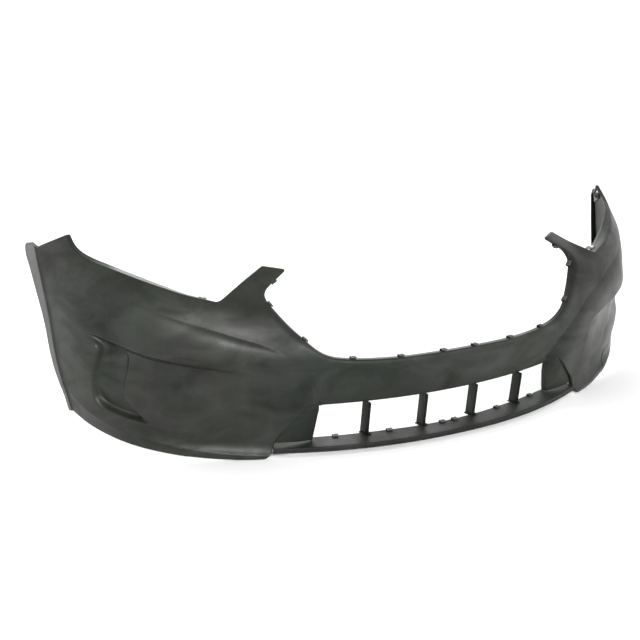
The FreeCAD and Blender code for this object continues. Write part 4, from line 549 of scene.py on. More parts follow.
# direction out of the skin, from finite differences of the surface itself
def normal_at(a, z):
    e = 0.8
    p0, p1, q0, q1 = P(a - e, z), P(a + e, z), P(a, z - e), P(a, z + e)
    u = Vector((p1[0] - p0[0], p1[1] - p0[1], p1[2] - p0[2])); v = Vector((q1[0] - q0[0], q1[1] - q0[1], q1[2] - q0[2]))
    return u.cross(v).normalized()
tri_arr = np.array(tris)
fn = np.cross(right[tri_arr[:, 1]] - right[tri_arr[:, 0]], right[tri_arr[:, 2]] - right[tri_arr[:, 0]])
vn = np.zeros_like(right)
for c in range(3): np.add.at(vn, tri_arr[:, c], fn)
on_mid = np.abs(np.array(V2)[:, 0]) < 1e-3
vn[on_mid, 0] = 0.0
vn /= np.linalg.norm(vn, axis=1)[:, None]
if vn[:, 1].mean() > 0: vn = -vn; tri_arr = tri_arr[:, ::-1]
inner_r = right - vn * WALL
# profile round the edge: (inset, depth) pairs, from the outer face to the inner one
def profile(w, D0, Din):
    pts = []
    for t in (18, 36, 54, 72, 90):
        q = math.radians(t); pts.append((WALL * (1 - math.sin(q)), WALL * (1 - math.cos(q)), 0))
    for e in (0.3, 0.6, 0.85): pts.append((0.0, WALL + (w - 1.0 - WALL) * e, 0))
    pts += [(0.0, w - 0.9, 1), (0.25, w - 0.3, 1), (0.8, w, 1), (2.2, w, 1), (2.75, w - 0.3, 1), (3.0, w - 0.9, 1)]
    for e in (0.8, 0.5, 0.2): pts.append((3.0, WALL + 1.2 + (w - 2.2 - WALL) * e, 2))
    return pts
NP = len(profile(10, 0, 0))
rim = np.zeros((NE, NP, 3))
for k in range(NE):
    a, z, w, rise = edge[k]; nx, nz = EN[k]
    for j, (s, e, kind) in enumerate(profile(w, 0, 0)):
        aa, zz = a + nx * s, z + nz * s
        if k in (0, NE - 1): aa = 0.0
        d = Dsurf(abs(aa), zz) if s > 0.01 else Dsurf(abs(a), z)
        x, y = plan(aa); px, py = plan_n(aa)
        d3 = Dsurf(abs(a + nx * WALL), z + nz * WALL)
        dref = d if kind == 0 else Dsurf(abs(a), z)
        if kind == 0:
            depth = d - e
        else:
            depth = dref - e
        r = rise * min(max((e - WALL) / max(w - WALL, 1e-6), 0.0), 1.0)
        rim[k, j] = (x + px * depth, y + py * depth, zz + r)
verts = []; faces = []
def add_block(arr):
    b = len(verts); verts.extend(map(tuple, arr)); return b
b_or = add_block(right); b_ir = add_block(inner_r)
mir = np.array([-1.0, 1.0, 1.0])
mid_idx = {i for i in range(NH) if on_mid[i]}
left_o = {}; left_i = {}
lo_arr, li_arr = right * mir, inner_r * mir
for i in range(NH):
    if i in mid_idx: left_o[i] = b_or + i; left_i[i] = b_ir + i
    else:
        left_o[i] = len(verts); verts.append(tuple(lo_arr[i]))
for i in range(NH):
    if i not in mid_idx: left_i[i] = len(verts); verts.append(tuple(li_arr[i]))
for t in tri_arr:
    a, b, c = int(t[0]), int(t[1]), int(t[2])
    faces.append((b_or + a, b_or + b, b_or + c)); faces.append((b_ir + c, b_ir + b, b_ir + a))
    faces.append((left_o[c], left_o[b], left_o[a])); faces.append((left_i[a], left_i[b], left_i[c]))
b_rr = add_block(rim.reshape(-1, 3))
rl = {}
for k in range(NE):
    for j in range(NP):
        if k in (0, NE - 1): rl[(k, j)] = b_rr + k * NP + j; verts[b_rr + k * NP + j] = (0.0,) + tuple(verts[b_rr + k * NP + j][1:])
        else: rl[(k, j)] = len(verts); x, y, z = rim[k, j]; verts.append((-x, y, z))
sharp = set()
for k in range(NE - 1):
    for j in range(-1, NP):
        def at(kk, jj, mirror):
            if jj == -1: return (left_o if mirror else {ring[kk]: b_or + ring[kk]})[ring[kk]]
            if jj == NP: return (left_i if mirror else {ring[kk]: b_ir + ring[kk]})[ring[kk]]
            return rl[(kk, jj)] if mirror else b_rr + kk * NP + jj
        q = (at(k, j, False), at(k + 1, j, False), at(k + 1, j + 1, False), at(k, j + 1, False))
        faces.append(q)
        q = (at(k, j, True), at(k, j + 1, True), at(k + 1, j + 1, True), at(k + 1, j, True))
        faces.append(q)
vv = np.array(verts); vv[:, 1] -= DY; vv[:, 2] += DZ; vv /= 1000.0
skin_me = bpy.data.meshes.new("bumper_skin")
skin_me.from_pydata([tuple(v) for v in vv], [], faces)
# mask of the strip outside the wheel-arch fold, for the painted reflection that makes it lighter than the rest
def painted_reflection_weight(a, z):
    s = (abs(a) - lerp([(q[1], q[0]) for q in ARCH], z) - 0.6) / 2.4
    return min(max(s, 0.0), 1.0) if 60 < z < 520 else 0.0
lw = [painted_reflection_weight(a, z) for a, z in V2]; others = [i for i in range(NH) if i not in mid_idx]
rw = [painted_reflection_weight(edge[k][0], edge[k][1]) * (1.0 if j < 9 else 0.0) for k in range(NE) for j in range(NP)]
mask = lw + [0.0] * NH + [lw[i] for i in others] + [0.0] * len(others) + rw + [rw[k * NP + j] for k in range(1, NE - 1) for j in range(NP)]
print("mask", len(mask), "verts", len(verts), "in lip", sum(1 for m in mask if m > 0.5))
if len(mask) == len(skin_me.vertices):
    layer = skin_me.attributes.new("lip", "FLOAT", "POINT"); layer.data.foreach_set("value", mask)
skin_me.validate(); skin_me.update()
bm = bmesh.new(); bm.from_mesh(skin_me)
bmesh.ops.remove_doubles(bm, verts=bm.verts, dist=1e-6)
bmesh.ops.recalc_face_normals(bm, faces=bm.faces)
open_edges = sum(1 for e in bm.edges if not e.is_manifold)
print("skin: verts", len(bm.verts), "faces", len(bm.faces), "open edges", open_edges)
bm.to_mesh(skin_me); bm.free()
finish_piece("bumper_skin", skin_me, "skin", "fascia_skin", 50.0)

# ---- shared mesh helpers -------------------------------------------------------------
def frame_matrix(origin, x_dir, y_dir):
    """mm frame to metres: columns X, Y, Z and origin in table coordinates"""
    x = Vector(x_dir).normalized(); y = Vector(y_dir); y = (y - x * x.dot(y)).normalized(); z = x.cross(y)
    m = Matrix(((x.x, y.x, z.x, 0), (x.y, y.y, z.y, 0), (x.z, y.z, z.z, 0), (0, 0, 0, 1)))
    return Matrix.Translation(M(origin)) @ m @ Matrix.Scale(0.001, 4)
def round_poly(pts, r, n=4, keep=()):
    """closed polygon with its corners rounded"""
    out = []; m = len(pts)
    for i in range(m):
        p, c, q = Vector(pts[i - 1]), Vector(pts[i]), Vector(pts[(i + 1) % m])
        rr = r[i] if isinstance(r, (list, tuple)) else r
        if rr <= 0 or i in keep: out.append(tuple(c)); continue
        d1, d2 = (p - c), (q - c); l1, l2 = d1.length, d2.length; d1.normalize(); d2.normalize()
        ang = d1.angle(d2); t = min(rr / math.tan(ang / 2) if ang < 3.13 else 0, l1 * 0.45, l2 * 0.45)
        if t < 1e-4: out.append(tuple(c)); continue
        A, B = c + d1 * t, c + d2 * t
        for k in range(n + 1):
            s = k / n; out.append(tuple(A * (1 - s) ** 2 + c * 2 * s * (1 - s) + B * s * s))
    return out
def sweep(sections, closed_ends=True, cyc=False):
    """mesh of equal-count closed sections (lists of Vectors, metres)"""
    bm = bmesh.new(); rows = [[bm.verts.new(p) for p in s] for s in sections]; n = len(rows[0])
    pairs = list(zip(rows, rows[1:])) + ([(rows[-1], rows[0])] if cyc else [])
    for r0, r1 in pairs:
        for k in range(n): bm.faces.new((r0[k], r0[(k + 1) % n], r1[(k + 1) % n], r1[k]))
    if closed_ends and not cyc:
        bm.faces.new(rows[0][::-1]); bm.faces.new(rows[-1])
    bmesh.ops.recalc_face_normals(bm, faces=bm.faces)
    return bm
def extrude_poly(pts, x0, x1, matrix, bevel=0.3, segs_=2):
    """solid of a YZ polygon between two X values, edges rounded"""
    bm = bmesh.new()
    a = [bm.verts.new((x0, p[0], p[1])) for p in pts]; b = [bm.verts.new((x1, p[0], p[1])) for p in pts]
    n = len(pts)
    bm.faces.new(a[::-1]); bm.faces.new(b)
    for k in range(n): bm.faces.new((a[k], a[(k + 1) % n], b[(k + 1) % n], b[k]))
    bmesh.ops.recalc_face_normals(bm, faces=bm.faces)
    if bevel > 0:
        ed = [e for e in bm.edges if e.is_manifold and e.calc_face_angle(0) > 0.6]
        bmesh.ops.bevel(bm, geom=ed, offset=bevel, segments=segs_, profile=0.5, affect="EDGES", clamp_overlap=True)
    bm.transform(matrix); return bm
def lathe(profile_, matrix, n=28):
    """turned solid about Z from (r, z) points that start and end on the axis"""
    bm = bmesh.new(); rows = []
    for r, z in profile_:
        if r < 1e-6: rows.append([bm.verts.new((0, 0, z))])
        else: rows.append([bm.verts.new((r * math.cos(2 * math.pi * k / n), r * math.sin(2 * math.pi * k / n), z)) for k in range(n)])
    for a, b in zip(rows, rows[1:]):
        for k in range(n):
            k2 = (k + 1) % n
            if len(a) == 1 and len(b) == 1: continue
            if len(a) == 1: bm.faces.new((a[0], b[k], b[k2]))
            elif len(b) == 1: bm.faces.new((a[k], b[0], a[k2]))
            else: bm.faces.new((a[k], b[k], b[k2], a[k2]))
    bmesh.ops.recalc_face_normals(bm, faces=bm.faces)
    bm.transform(matrix); return bm
def merge(bms, name):
    me = bpy.data.meshes.new(name); big = bmesh.new()
    for b in bms:
        t = bpy.data.meshes.new("part_tmp"); b.to_mesh(t); b.free(); big.from_mesh(t); bpy.data.meshes.remove(t)
    big.to_mesh(me); big.free(); return me

# ---- lower valance: rounded lip with a groove, ribbed shelf ----------------------------
BACK = [(0, -57), (100, -51), (190, -36), (260, -22), (320, -7), (380, 11), (440, 26), (520, 38)]
BK2 = spline_coef([b[0] for b in BACK], [b[1] for b in BACK])
def lip_y(x): return -116.0 + 116.0 * (abs(x) / 510.0) ** 2.15
def back_y(x): return spline_eval([b[0] for b in BACK], [b[1] for b in BACK], BK2, abs(x))
def shelf_top(x, y):
    w = back_y(x) - lip_y(x); s = (y - lip_y(x) - 6.0) / (w - 8.0)
    return 14.2 + 3.8 * min(max(s, 0.0), 1.0)
def valance_section(x, skew=0.0, end=0.0):
    f, w = lip_y(x), back_y(x) - lip_y(x); lip = 12.5
    raw = [(1.2, 0.0), (0.0, 1.2), (0.0, 4.4), (1.6, 5.2), (1.6, 7.4), (0.0, 8.2), (0.0, lip - 1.2), (1.9, lip + 1.0), (6.0, 14.2), (w * 0.35, 15.4), (w * 0.7, 16.8), (w - 2.0, 18.0), (w, 18.0), (w, 15.0), (w * 0.6, 13.6), (10.0, 11.4), (4.5, 10.4), (3.0, 9.0), (3.0, 1.0), (2.2, 0.0)]
    rad = [0.8, 0.8, 0.6, 0.6, 0.6, 0.6, 1.2, 1.4, 3.0, 0, 0, 1.0, 0.8, 0.8, 0, 1.5, 1.5, 1.0, 0.6, 0.6]
    pts = []
    for s, z in round_poly(raw, rad, 3, keep=(9, 10, 14)):
        sx = 1 if x >= 0 else -1
        xx = x if not skew else sx * (abs(x) - skew * (0.39 * s + 0.36 * z))
        pts.append(M((xx, f + s, z)))
    return pts
STRUT_X, LEAN = [-250.5, -82.5, 82.5, 250.5], 13.0
def strut_front(x): return -80.19 + 0.00032175 * x * x
xs_ = list(np.linspace(-507, 507, 239))
bm = sweep([valance_section(x, 1.0 if abs(x) > 506.9 else 0.0) for x in xs_])
bms = [bm]
for side in (1, -1):
    lo_hi = lambda a, b: (a, b) if side > 0 else (-b, -a)
    xa, xb, xc, y0_, y1_ = 462.0, 476.0, 562.0, 23.0, 39.0
    # tongue: L-shaped strip
    sec = round_poly([(xa, -8.3), (xc - 0.3, -8.3), (xc - 0.3, -5.3), (xb, -5.3), (xb, 16.4), (xa, 16.4)], [1.5, 1.0, 1.0, 2.0, 0, 0], 3)
    b = bmesh.new()
    va = [b.verts.new(M((side * p[0], y0_, p[1]))) for p in sec]; vb = [b.verts.new(M((side * p[0], y1_, p[1]))) for p in sec]
    b.faces.new(va); b.faces.new(vb[::-1])
    for k in range(len(sec)): b.faces.new((va[k], vb[k], vb[(k + 1) % len(sec)], va[(k + 1) % len(sec)]))
    bmesh.ops.recalc_face_normals(b, faces=b.faces); bms.append(b)
# stiffening ribs under the shelf, between the lip and the back edge
for x in [-420 + 60 * k for k in range(15)]:
    f, w = lip_y(x), back_y(x) - lip_y(x)
    if w < 24: continue
    sec = [(f + 3.2, 5.0), (f + 3.2, 9.6), (f + 4.8, 10.6), (f + 10.0, 11.6), (f + w - 5.0, 14.6), (f + w - 5.0, 13.2), (f + w * 0.5, 9.0)]
    b = bmesh.new()
    va = [b.verts.new(M((x - 0.9, p[0], p[1]))) for p in sec]; vb = [b.verts.new(M((x + 0.9, p[0], p[1]))) for p in sec]
    b.faces.new(va); b.faces.new(vb[::-1])
    for k in range(len(sec)): b.faces.new((va[k], vb[k], vb[(k + 1) % len(sec)], va[(k + 1) % len(sec)]))
    bmesh.ops.recalc_face_normals(b, faces=b.faces); bms.append(b)
for x in STRUT_X:       # ears that carry the struts' feet
    rear = strut_front(x) + LEAN + 36.0 + 1.5; yf = back_y(x) - 7.0
    out = round_poly([(x - 6.0, yf), (x + 18.0, yf), (x + 18.0, rear), (x - 6.0, rear)], [0, 0, 3.0, 3.0], 4)
    b = bmesh.new()
    va = [b.verts.new(M((p[0], p[1], 15.0))) for p in out]; vb = [b.verts.new(M((p[0], p[1], 18.0))) for p in out]
    b.faces.new(va[::-1]); b.faces.new(vb)
    for k in range(len(out)): b.faces.new((va[k], va[(k + 1) % len(out)], vb[(k + 1) % len(out)], vb[k]))
    bmesh.ops.recalc_face_normals(b, faces=b.faces)
    bmesh.ops.bevel(b, geom=[e for e in b.edges if e.is_manifold and e.calc_face_angle(0) > 1.2], offset=0.0005, segments=2, profile=0.5, affect="EDGES")
    bms.append(b)
finish_piece("valance", merge(bms, "valance"), "valance", "lower_valance", 28.0)

# ---- struts of the lower opening -------------------------------------------------------
T, DEP, FW, FL, FH = 4.0, 36.0, 15.0, 30.0, 2.5
screw_frames = []
for k, x in enumerate(STRUT_X, start=1):
    y0 = strut_front(x); zt, zb = 112.7, 18.03; H = zt - zb
    drop = zb - shelf_top(x, y0 + LEAN) - 0.12; kink = back_y(x) - 7.4 - y0
    fm_ = frame_matrix((x, y0, zb), (1, 0, 0), (0, 1, 0))
    blade = round_poly([(LEAN, -drop), (kink, 0.0), (LEAN + DEP, 0.0), (DEP, H), (0.0, H)], [0.6, 0.6, 0.6, 3.0, 3.0], 3)
    b1 = extrude_poly(blade, -T / 2, T / 2, fm_, 0.9, 3)
    # thickened front edge bead and a rear return rib
    q = lambda s, e: (LEAN * (1 - s) + e, H * s)
    bead = [q(0.02, 0.2), q(0.98, 0.2), q(0.98, 3.4), q(0.02, 3.4)]
    b2 = extrude_poly(bead, -T / 2 - 0.0, T / 2 + 1.2, fm_, 0.8, 2)
    rear = [q(0.02, DEP - 3.2), q(0.98, DEP - 3.2), q(0.98, DEP - 0.2), q(0.02, DEP - 0.2)]
    b3 = extrude_poly(rear, -T / 2 - 0.0, T / 2 + 2.2, fm_, 0.8, 2)
    # foot: plate that carries the screw
    b4 = bmesh.new()
    foot = round_poly([(-T / 2, LEAN + 3), (FW, LEAN + 3), (FW, LEAN + 3 + FL), (-T / 2, LEAN + 3 + FL)], [0, 4.0, 4.0, 0], 4)
    va = [b4.verts.new((p[0], p[1], 0.0)) for p in foot]; vb = [b4.verts.new((p[0], p[1], FH)) for p in foot]
    b4.faces.new(va[::-1]); b4.faces.new(vb)
    for i in range(len(foot)): b4.faces.new((va[i], va[(i + 1) % len(foot)], vb[(i + 1) % len(foot)], vb[i]))
    bmesh.ops.recalc_face_normals(b4, faces=b4.faces)
    bmesh.ops.bevel(b4, geom=[e for e in b4.edges if e.is_manifold and e.calc_face_angle(0) > 1.2], offset=0.5, segments=2, profile=0.5, affect="EDGES")
    b4.transform(fm_)
    web = [(T / 2 - 0.2, FH - 0.2), (T / 2 + 5.0, FH - 0.2), (T / 2 - 0.2, FH + 9.0)]
    parts_ = [b1, b2, b3, b4]
    for yw in (LEAN + 6.0, LEAN + 30.0):
        b5 = bmesh.new(); a_ = [b5.verts.new((p[0], yw - 0.8, p[1])) for p in web]; c_ = [b5.verts.new((p[0], yw + 0.8, p[1])) for p in web]
        b5.faces.new(a_); b5.faces.new(c_[::-1])
        for i in range(3): b5.faces.new((a_[i], c_[i], c_[(i + 1) % 3], a_[(i + 1) % 3]))
        bmesh.ops.recalc_face_normals(b5, faces=b5.faces); b5.transform(fm_); parts_.append(b5)
    finish_piece("strut_%d" % k, merge(parts_, "strut_%d" % k), "strut", "opening_strut_%d" % k, 32.0)
    screw_frames.append(frame_matrix((x + 8.6, y0 + LEAN + 18.0, zb + FH + 0.02), (1, 0, 0), (0, 1, 0)))
def recessed_head(R, Hh, shank_r, shank_l, matrix):
    """pan-head screw with a six-lobed recess"""
    bm = bmesh.new(); n = 48; rows = []
    def ringv(rf, z): return [bm.verts.new((rf(t) * math.cos(t), rf(t) * math.sin(t), z)) for t in (2 * math.pi * k / n for k in range(n))]
    lobe = lambda t: R * 0.36 * (1 + 0.16 * math.cos(6 * t)); c = lambda r: (lambda t: r)
    rows.append(ringv(lobe, Hh * 0.25)); rows.append(ringv(lambda t: lobe(t) * 1.02, Hh * 0.98)); rows.append(ringv(lambda t: lobe(t) * 1.10 + 0.05, Hh))
    rows.append(ringv(c(R * 0.62), Hh)); rows.append(ringv(c(R * 0.84), Hh * 0.84)); rows.append(ringv(c(R * 0.96), Hh * 0.5)); rows.append(ringv(c(R), 0.12)); rows.append(ringv(c(R * 0.98), 0.0)); rows.append(ringv(c(shank_r), 0.0))
    turns = int(shank_l / 0.8)
    for k in range(turns): rows.append(ringv(c(shank_r * (0.99 if k % 2 else 0.84)), -0.4 - k * (shank_l - 0.6) / turns))
    for a, b in zip(rows, rows[1:]):
        for k in range(n): bm.faces.new((a[k], b[k], b[(k + 1) % n], a[(k + 1) % n]))
    bm.faces.new(rows[0]); bm.faces.new(rows[-1][::-1])
    bmesh.ops.recalc_face_normals(bm, faces=bm.faces); bm.transform(matrix); return bm
finish_piece("foot_screws", merge([recessed_head(4.5, 2.2, 2.4, 5.9, m_) for m_ in screw_frames], "foot_screws"), "screw", "strut_screws", 40.0)

# ---- blind panels at the lower opening's outer corners ---------------------------------
def seg_points(name): return [(p[0], p[1]) for p in [s for s in segs if s[0] == name][0][1]]
def at_depth_t(a, z, depth):
    x, y = plan(a); nx, ny = plan_n(a); return (x + nx * depth, y + ny * depth, z)
def panel_grid(side, n=40, m=44):
    left_src = [(415.5, 18.4), (413.5, 28), (411.3, 39), (409.2, 49), (407, 60), (404.8, 71), (402.6, 82), (400.8, 92), (399, 103), (399, 114.8)]
    diag = seg_points("recess_diag")
    right_l = resample(diag[:-1][::3] + [(425.5, 122.8)], n); left_l = resample(left_src, n)
    dl = [(17, -44), (40, -43.5), (60, -42), (82, -40.5), (103, -37), (115, -34.0)]
    gap = 1.4; rows = []
    for k in range(n):
        la, lz = left_l[k]; ra, rz_ = right_l[k]; ra -= gap * 1.25; rz_ -= gap * 0.9
        if k == 0: rz_ = max(rz_, 23.5)
        ld = lerp(dl, lz); rd = Dsurf(right_l[k][0], right_l[k][1]) - 8.0
        row = []
        for depth in (16.0, 13.0, 10.0, 7.0, 4.8, 3.2, 2.0, 1.0, 0.35):
            row.append((la - 0.4 - 0.3 * (1 - depth / 16.0), lz, ld - depth))
        for i in range(m):
            s = (i + 0.25) / (m - 0.75)
            row.append((la + (ra - la) * s, lz + (rz_ - lz) * s + 1.5 * math.sin(math.pi * s) * (k / (n - 1.0)) ** 3, ld + (rd - ld) * s + 3.0 * math.sin(math.pi * s)))
        rows.append([at_depth_t(side * a, z, d) for a, z, d in row])
    return rows
def thick_grid(rows, wall, flip):
    g = [[M(p) for p in r] for r in rows]; nu, nv = len(g), len(g[0]); bm = bmesh.new(); back = []
    for i in range(nu):
        rr = []
        for j in range(nv):
            u = g[min(i + 1, nu - 1)][j] - g[max(i - 1, 0)][j]; v = g[i][min(j + 1, nv - 1)] - g[i][max(j - 1, 0)]
            n = u.cross(v).normalized(); rr.append(g[i][j] + n * (wall / 1000.0 if flip else -wall / 1000.0))
        back.append(rr)
    F = [[bm.verts.new(p) for p in r] for r in g]; B = [[bm.verts.new(p) for p in r] for r in back]
    for i in range(nu - 1):
        for j in range(nv - 1):
            bm.faces.new((F[i][j], F[i + 1][j], F[i + 1][j + 1], F[i][j + 1])); bm.faces.new((B[i][j], B[i][j + 1], B[i + 1][j + 1], B[i + 1][j]))
    for i in range(nu - 1):
        for j in (0, nv - 1): bm.faces.new((F[i][j], F[i + 1][j], B[i + 1][j], B[i][j]))
    for j in range(nv - 1):
        for i in (0, nu - 1): bm.faces.new((F[i][j], F[i][j + 1], B[i][j + 1], B[i][j]))
    bmesh.ops.recalc_face_normals(bm, faces=bm.faces)
    border = [e for e in bm.edges if e.calc_face_angle(0) > 1.1]
    bmesh.ops.bevel(bm, geom=border, offset=0.0006, segments=2, profile=0.5, affect="EDGES", clamp_overlap=True)
    return bm
for side, word in ((1, "right"), (-1, "left")):
    finish_piece("corner_panel_" + word, merge([thick_grid(panel_grid(side), 2.8, side > 0)], "corner_panel_" + word), "panel", "recess_panel_" + word, 40.0)

# ---- spring clips: one strip bent round the flange, with a raised tongue ---------------
def clip_bm(matrix, lean=0.0):
    w = 1.2
    # outline of the bent strip in (Y, Z), corners rounded
    raw = [(2.0, 1.2), (3.2, 1.2), (3.2, 3.6), (14.6, 3.6), (14.6, -3.7), (5.0, -3.7), (5.0, -4.9), (15.8, -4.9), (15.8, 4.8), (2.0, 4.8)]
    pts = round_poly(raw, [0.4, 0.4, 0.6, 0.8, 0.4, 0.5, 0.5, 1.6, 1.8, 1.6], 3)
    body = extrude_poly(pts, -8.0, 8.0, matrix, 0.22, 2)
    # pressed barrel for the screw on the upper leg
    barrel = lathe([(0, 4.7), (4.2, 4.7), (4.2, 4.9), (3.6, 5.0), (3.2, 5.2), (2.8, 5.25), (2.4, 5.1), (2.3, 4.74), (0, 4.72)], matrix @ Matrix.Translation((0, 8.6, 0)), 20)
    return [body, barrel]
def edge_at(target, coord):
    """position on the grille opening's edge where a (coord 0) or z (coord 1) is target"""
    for i in range(NE - 1):
        if tags[i] != "grille": continue
        p, q = edge[i][coord], edge[i + 1][coord]
        if (p - target) * (q - target) <= 0 and p != q:
            f = (target - p) / (q - p)
            a = edge[i][0] + (edge[i + 1][0] - edge[i][0]) * f; z = edge[i][1] + (edge[i + 1][1] - edge[i][1]) * f
            j0, j1 = max(i - 1, 0), min(i + 2, NE - 1)
            return a, z, (edge[j0][0], edge[j0][1]), (edge[j1][0], edge[j1][1])
def clip_frames(coords):
    out = []
    for target, coord in coords:
        a, z, p, q = edge_at(target, coord)
        for side in (1, -1):
            c, p3, q3 = P(side * a, z), P(side * p[0], p[1]), P(side * q[0], q[1])
            t = Vector([q3[i] - p3[i] for i in range(3)]) * side
            nx, ny = plan_n(side * a); y = Vector((-nx, -ny, 0)); t = t - y * y.dot(t)
            out.append(frame_matrix(c, t, y))
    return out
bl = []
for m_ in clip_frames([(51, 0), (180, 0), (313, 0)]): bl += clip_bm(m_)
finish_piece("low_clips", merge(bl, "low_clips"), "clip", "grille_low_clips", 35.0)
bl = []
for m_ in clip_frames([(300, 1), (385, 1), (435, 1)]): bl += clip_bm(m_)
finish_piece("side_clips", merge(bl, "side_clips"), "clip", "grille_side_clips", 35.0)
bl = []
for x in (20.0, 179.0, 326.0):
    for side in (1, -1):
        yb = back_y(x); dy = (back_y(x + 2) - back_y(x - 2)) / 4.0
        t = Vector((1.0, dy * side, 0)).normalized(); yd = Vector((-t.y, t.x, 0))
        rise = 3.8 / (back_y(x) - lip_y(x) - 8.0); yd = (yd + Vector((0, 0, rise))).normalized()
        p = Vector((side * x, yb, 18.0)) - yd * 14.3
        bl += clip_bm(frame_matrix(tuple(p), tuple(t), tuple(yd)))
finish_piece("shelf_clips", merge(bl, "shelf_clips"), "clip", "valance_clips", 35.0)

# ---- push pins in the valance's tongues ------------------------------------------------
bl = []
for side in (1, -1):
    m_ = frame_matrix((side * 551.0, 31.0, -5.28), (1, 0, 0), (0, 1, 0))
    bl.append(lathe([(0, -6.1), (2.4, -6.1), (3.05, -5.2), (3.05, -0.05), (7.1, -0.05), (7.5, 0.3), (7.4, 1.1), (6.8, 1.6), (4.9, 1.7), (4.8, 1.4), (4.5, 1.4), (4.4, 2.5), (4.0, 2.9), (0, 2.9)], m_, 32))
    bl.append(extrude_poly(round_poly([(-3.2, 2.88), (3.2, 2.88), (3.2, 3.3), (-3.2, 3.3)], 0.1, 1), -0.5, 0.5, m_, 0.0))
finish_piece("tongue_pins", merge(bl, "tongue_pins"), "pin", "valance_push_pins", 35.0)

# ---- fender rails ----------------------------------------------------------------------
def behind(a, z, depth):
    n = normal_at(a, z); p = P(a, z); return Vector(p) - n * depth, n
def holed_strip(side, nA=70, nZ=28):
    """rail: strip behind the wing with two stud holes"""
    holes = []
    for a, hz in ((1139.0, 513.0), (1173.0, 497.0)): holes.append((a, hz, 3.5))
    grid2 = []
    for i in range(nA):
        a = 1122.0 + 68.0 * i / (nA - 1)
        ztop = lerp([(1110, 547), (1140, 533.5), (1170, 519.5), (1197, 506)], a) - 7.5
        for j in range(nZ): grid2.append((a, ztop - 26.0 * (1 - j / (nZ - 1.0))))
    border = [k for k in range(nA * nZ) if k % nZ == 0]
    def gi(i, j): return i * nZ + j
    loop_ = [gi(i, 0) for i in range(nA)] + [gi(nA - 1, j) for j in range(1, nZ)] + [gi(i, nZ - 1) for i in range(nA - 2, -1, -1)] + [gi(0, j) for j in range(nZ - 2, 0, -1)]
    pts = [p for p in grid2]; keep = [True] * len(pts)
    for k, p in enumerate(pts):
        for a, z, r in holes:
            if math.hypot(p[0] - a, p[1] - z) < r + 0.5: keep[k] = False
    ids = {}; use = []
    for k, p in enumerate(pts):
        if keep[k]: ids[k] = len(use); use.append(p)
    hole_ids = []
    for a, z, r in holes:
        hh = []
        for t in range(24):
            hh.append(len(use)); use.append((a + r * math.cos(2 * math.pi * t / 24), z + r * math.sin(2 * math.pi * t / 24)))
        hole_ids.append(hh)
    ce = [(ids[loop_[k]], ids[loop_[(k + 1) % len(loop_)]]) for k in range(len(loop_))]
    for hh in hole_ids: ce += [(hh[k], hh[(k + 1) % 24]) for k in range(24)]
    vv_, ee_, ff_, ovv, _, _ = geometry.delaunay_2d_cdt([Vector(p) for p in use], ce, [], 2, 1e-5)
    tri = []
    for f in ff_:
        c = [sum(vv_[i][k] for i in f) / len(f) for k in (0, 1)]
        if any(math.hypot(c[0] - a, c[1] - z) < r * 0.99 for a, z, r in holes): continue
        tri.append(tuple(f))
    bm = bmesh.new(); front = []; backv = []
    for v in vv_:
        p, n = behind(side * v[0], v[1], WALL + 0.9); front.append(bm.verts.new(M(p))); backv.append(bm.verts.new(M(p - n * 3.0)))
    cnt = {}
    for f in tri:
        bm.faces.new([front[i] for i in f]); bm.faces.new([backv[i] for i in reversed(f)])
        for i in range(len(f)):
            e = (f[i], f[(i + 1) % len(f)]); cnt[tuple(sorted(e))] = cnt.get(tuple(sorted(e)), 0) + 1
    for f in tri:
        for i in range(len(f)):
            e = (f[i], f[(i + 1) % len(f)])
            if cnt[tuple(sorted(e))] == 1: bm.faces.new((front[e[1]], front[e[0]], backv[e[0]], backv[e[1]]))
    for v in [v for v in bm.verts if not v.link_faces]: bm.verts.remove(v)
    bmesh.ops.recalc_face_normals(bm, faces=bm.faces)
    return bm
def rivet_bm(matrix):
    return lathe([(0, -2.4), (2.6, -2.4), (3.0, -2.0), (3.0, 0.0), (5.1, 0.0), (5.5, 0.25), (5.45, 0.8), (4.9, 1.5), (3.8, 2.2), (2.6, 2.6), (1.6, 2.7), (1.3, 2.3), (0.9, 2.2), (0, 2.2)], matrix, 28)
bl = []
for side, word in ((1, "right"), (-1, "left")):
    finish_piece("wing_rail_" + word, merge([holed_strip(side)], "wing_rail_" + word), "rail", "fender_rail_" + word, 35.0)
    for a, hz in ((1128.0, 521.0), (1156.0, 502.0), (1184.0, 496.0)):
        p, n = behind(side * a, hz, WALL + 0.9 + 3.0)
        rot = (-n).to_track_quat("Z", "Y").to_matrix().to_4x4()
        bl.append(rivet_bm(Matrix.Translation(M(p - n * 0.2)) @ rot @ Matrix.Scale(0.001, 4)))
finish_piece("wing_rail_rivets", merge(bl, "wing_rail_rivets"), "rivet", "fender_rail_rivets", 40.0)

# ---- the pieces that keep their modelled solids get the finished materials --------------
for node, mat_, in (("headlamp_tab_right", "rail"), ("headlamp_tab_left", "rail"), ("headlamp_tab_rivets", "rivet"), ("wing_tip_blocks", "pin")):
    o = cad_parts.get(node)
    if o is None: continue
    o.data.materials.clear(); o.data.materials.append(MAT[mat_])

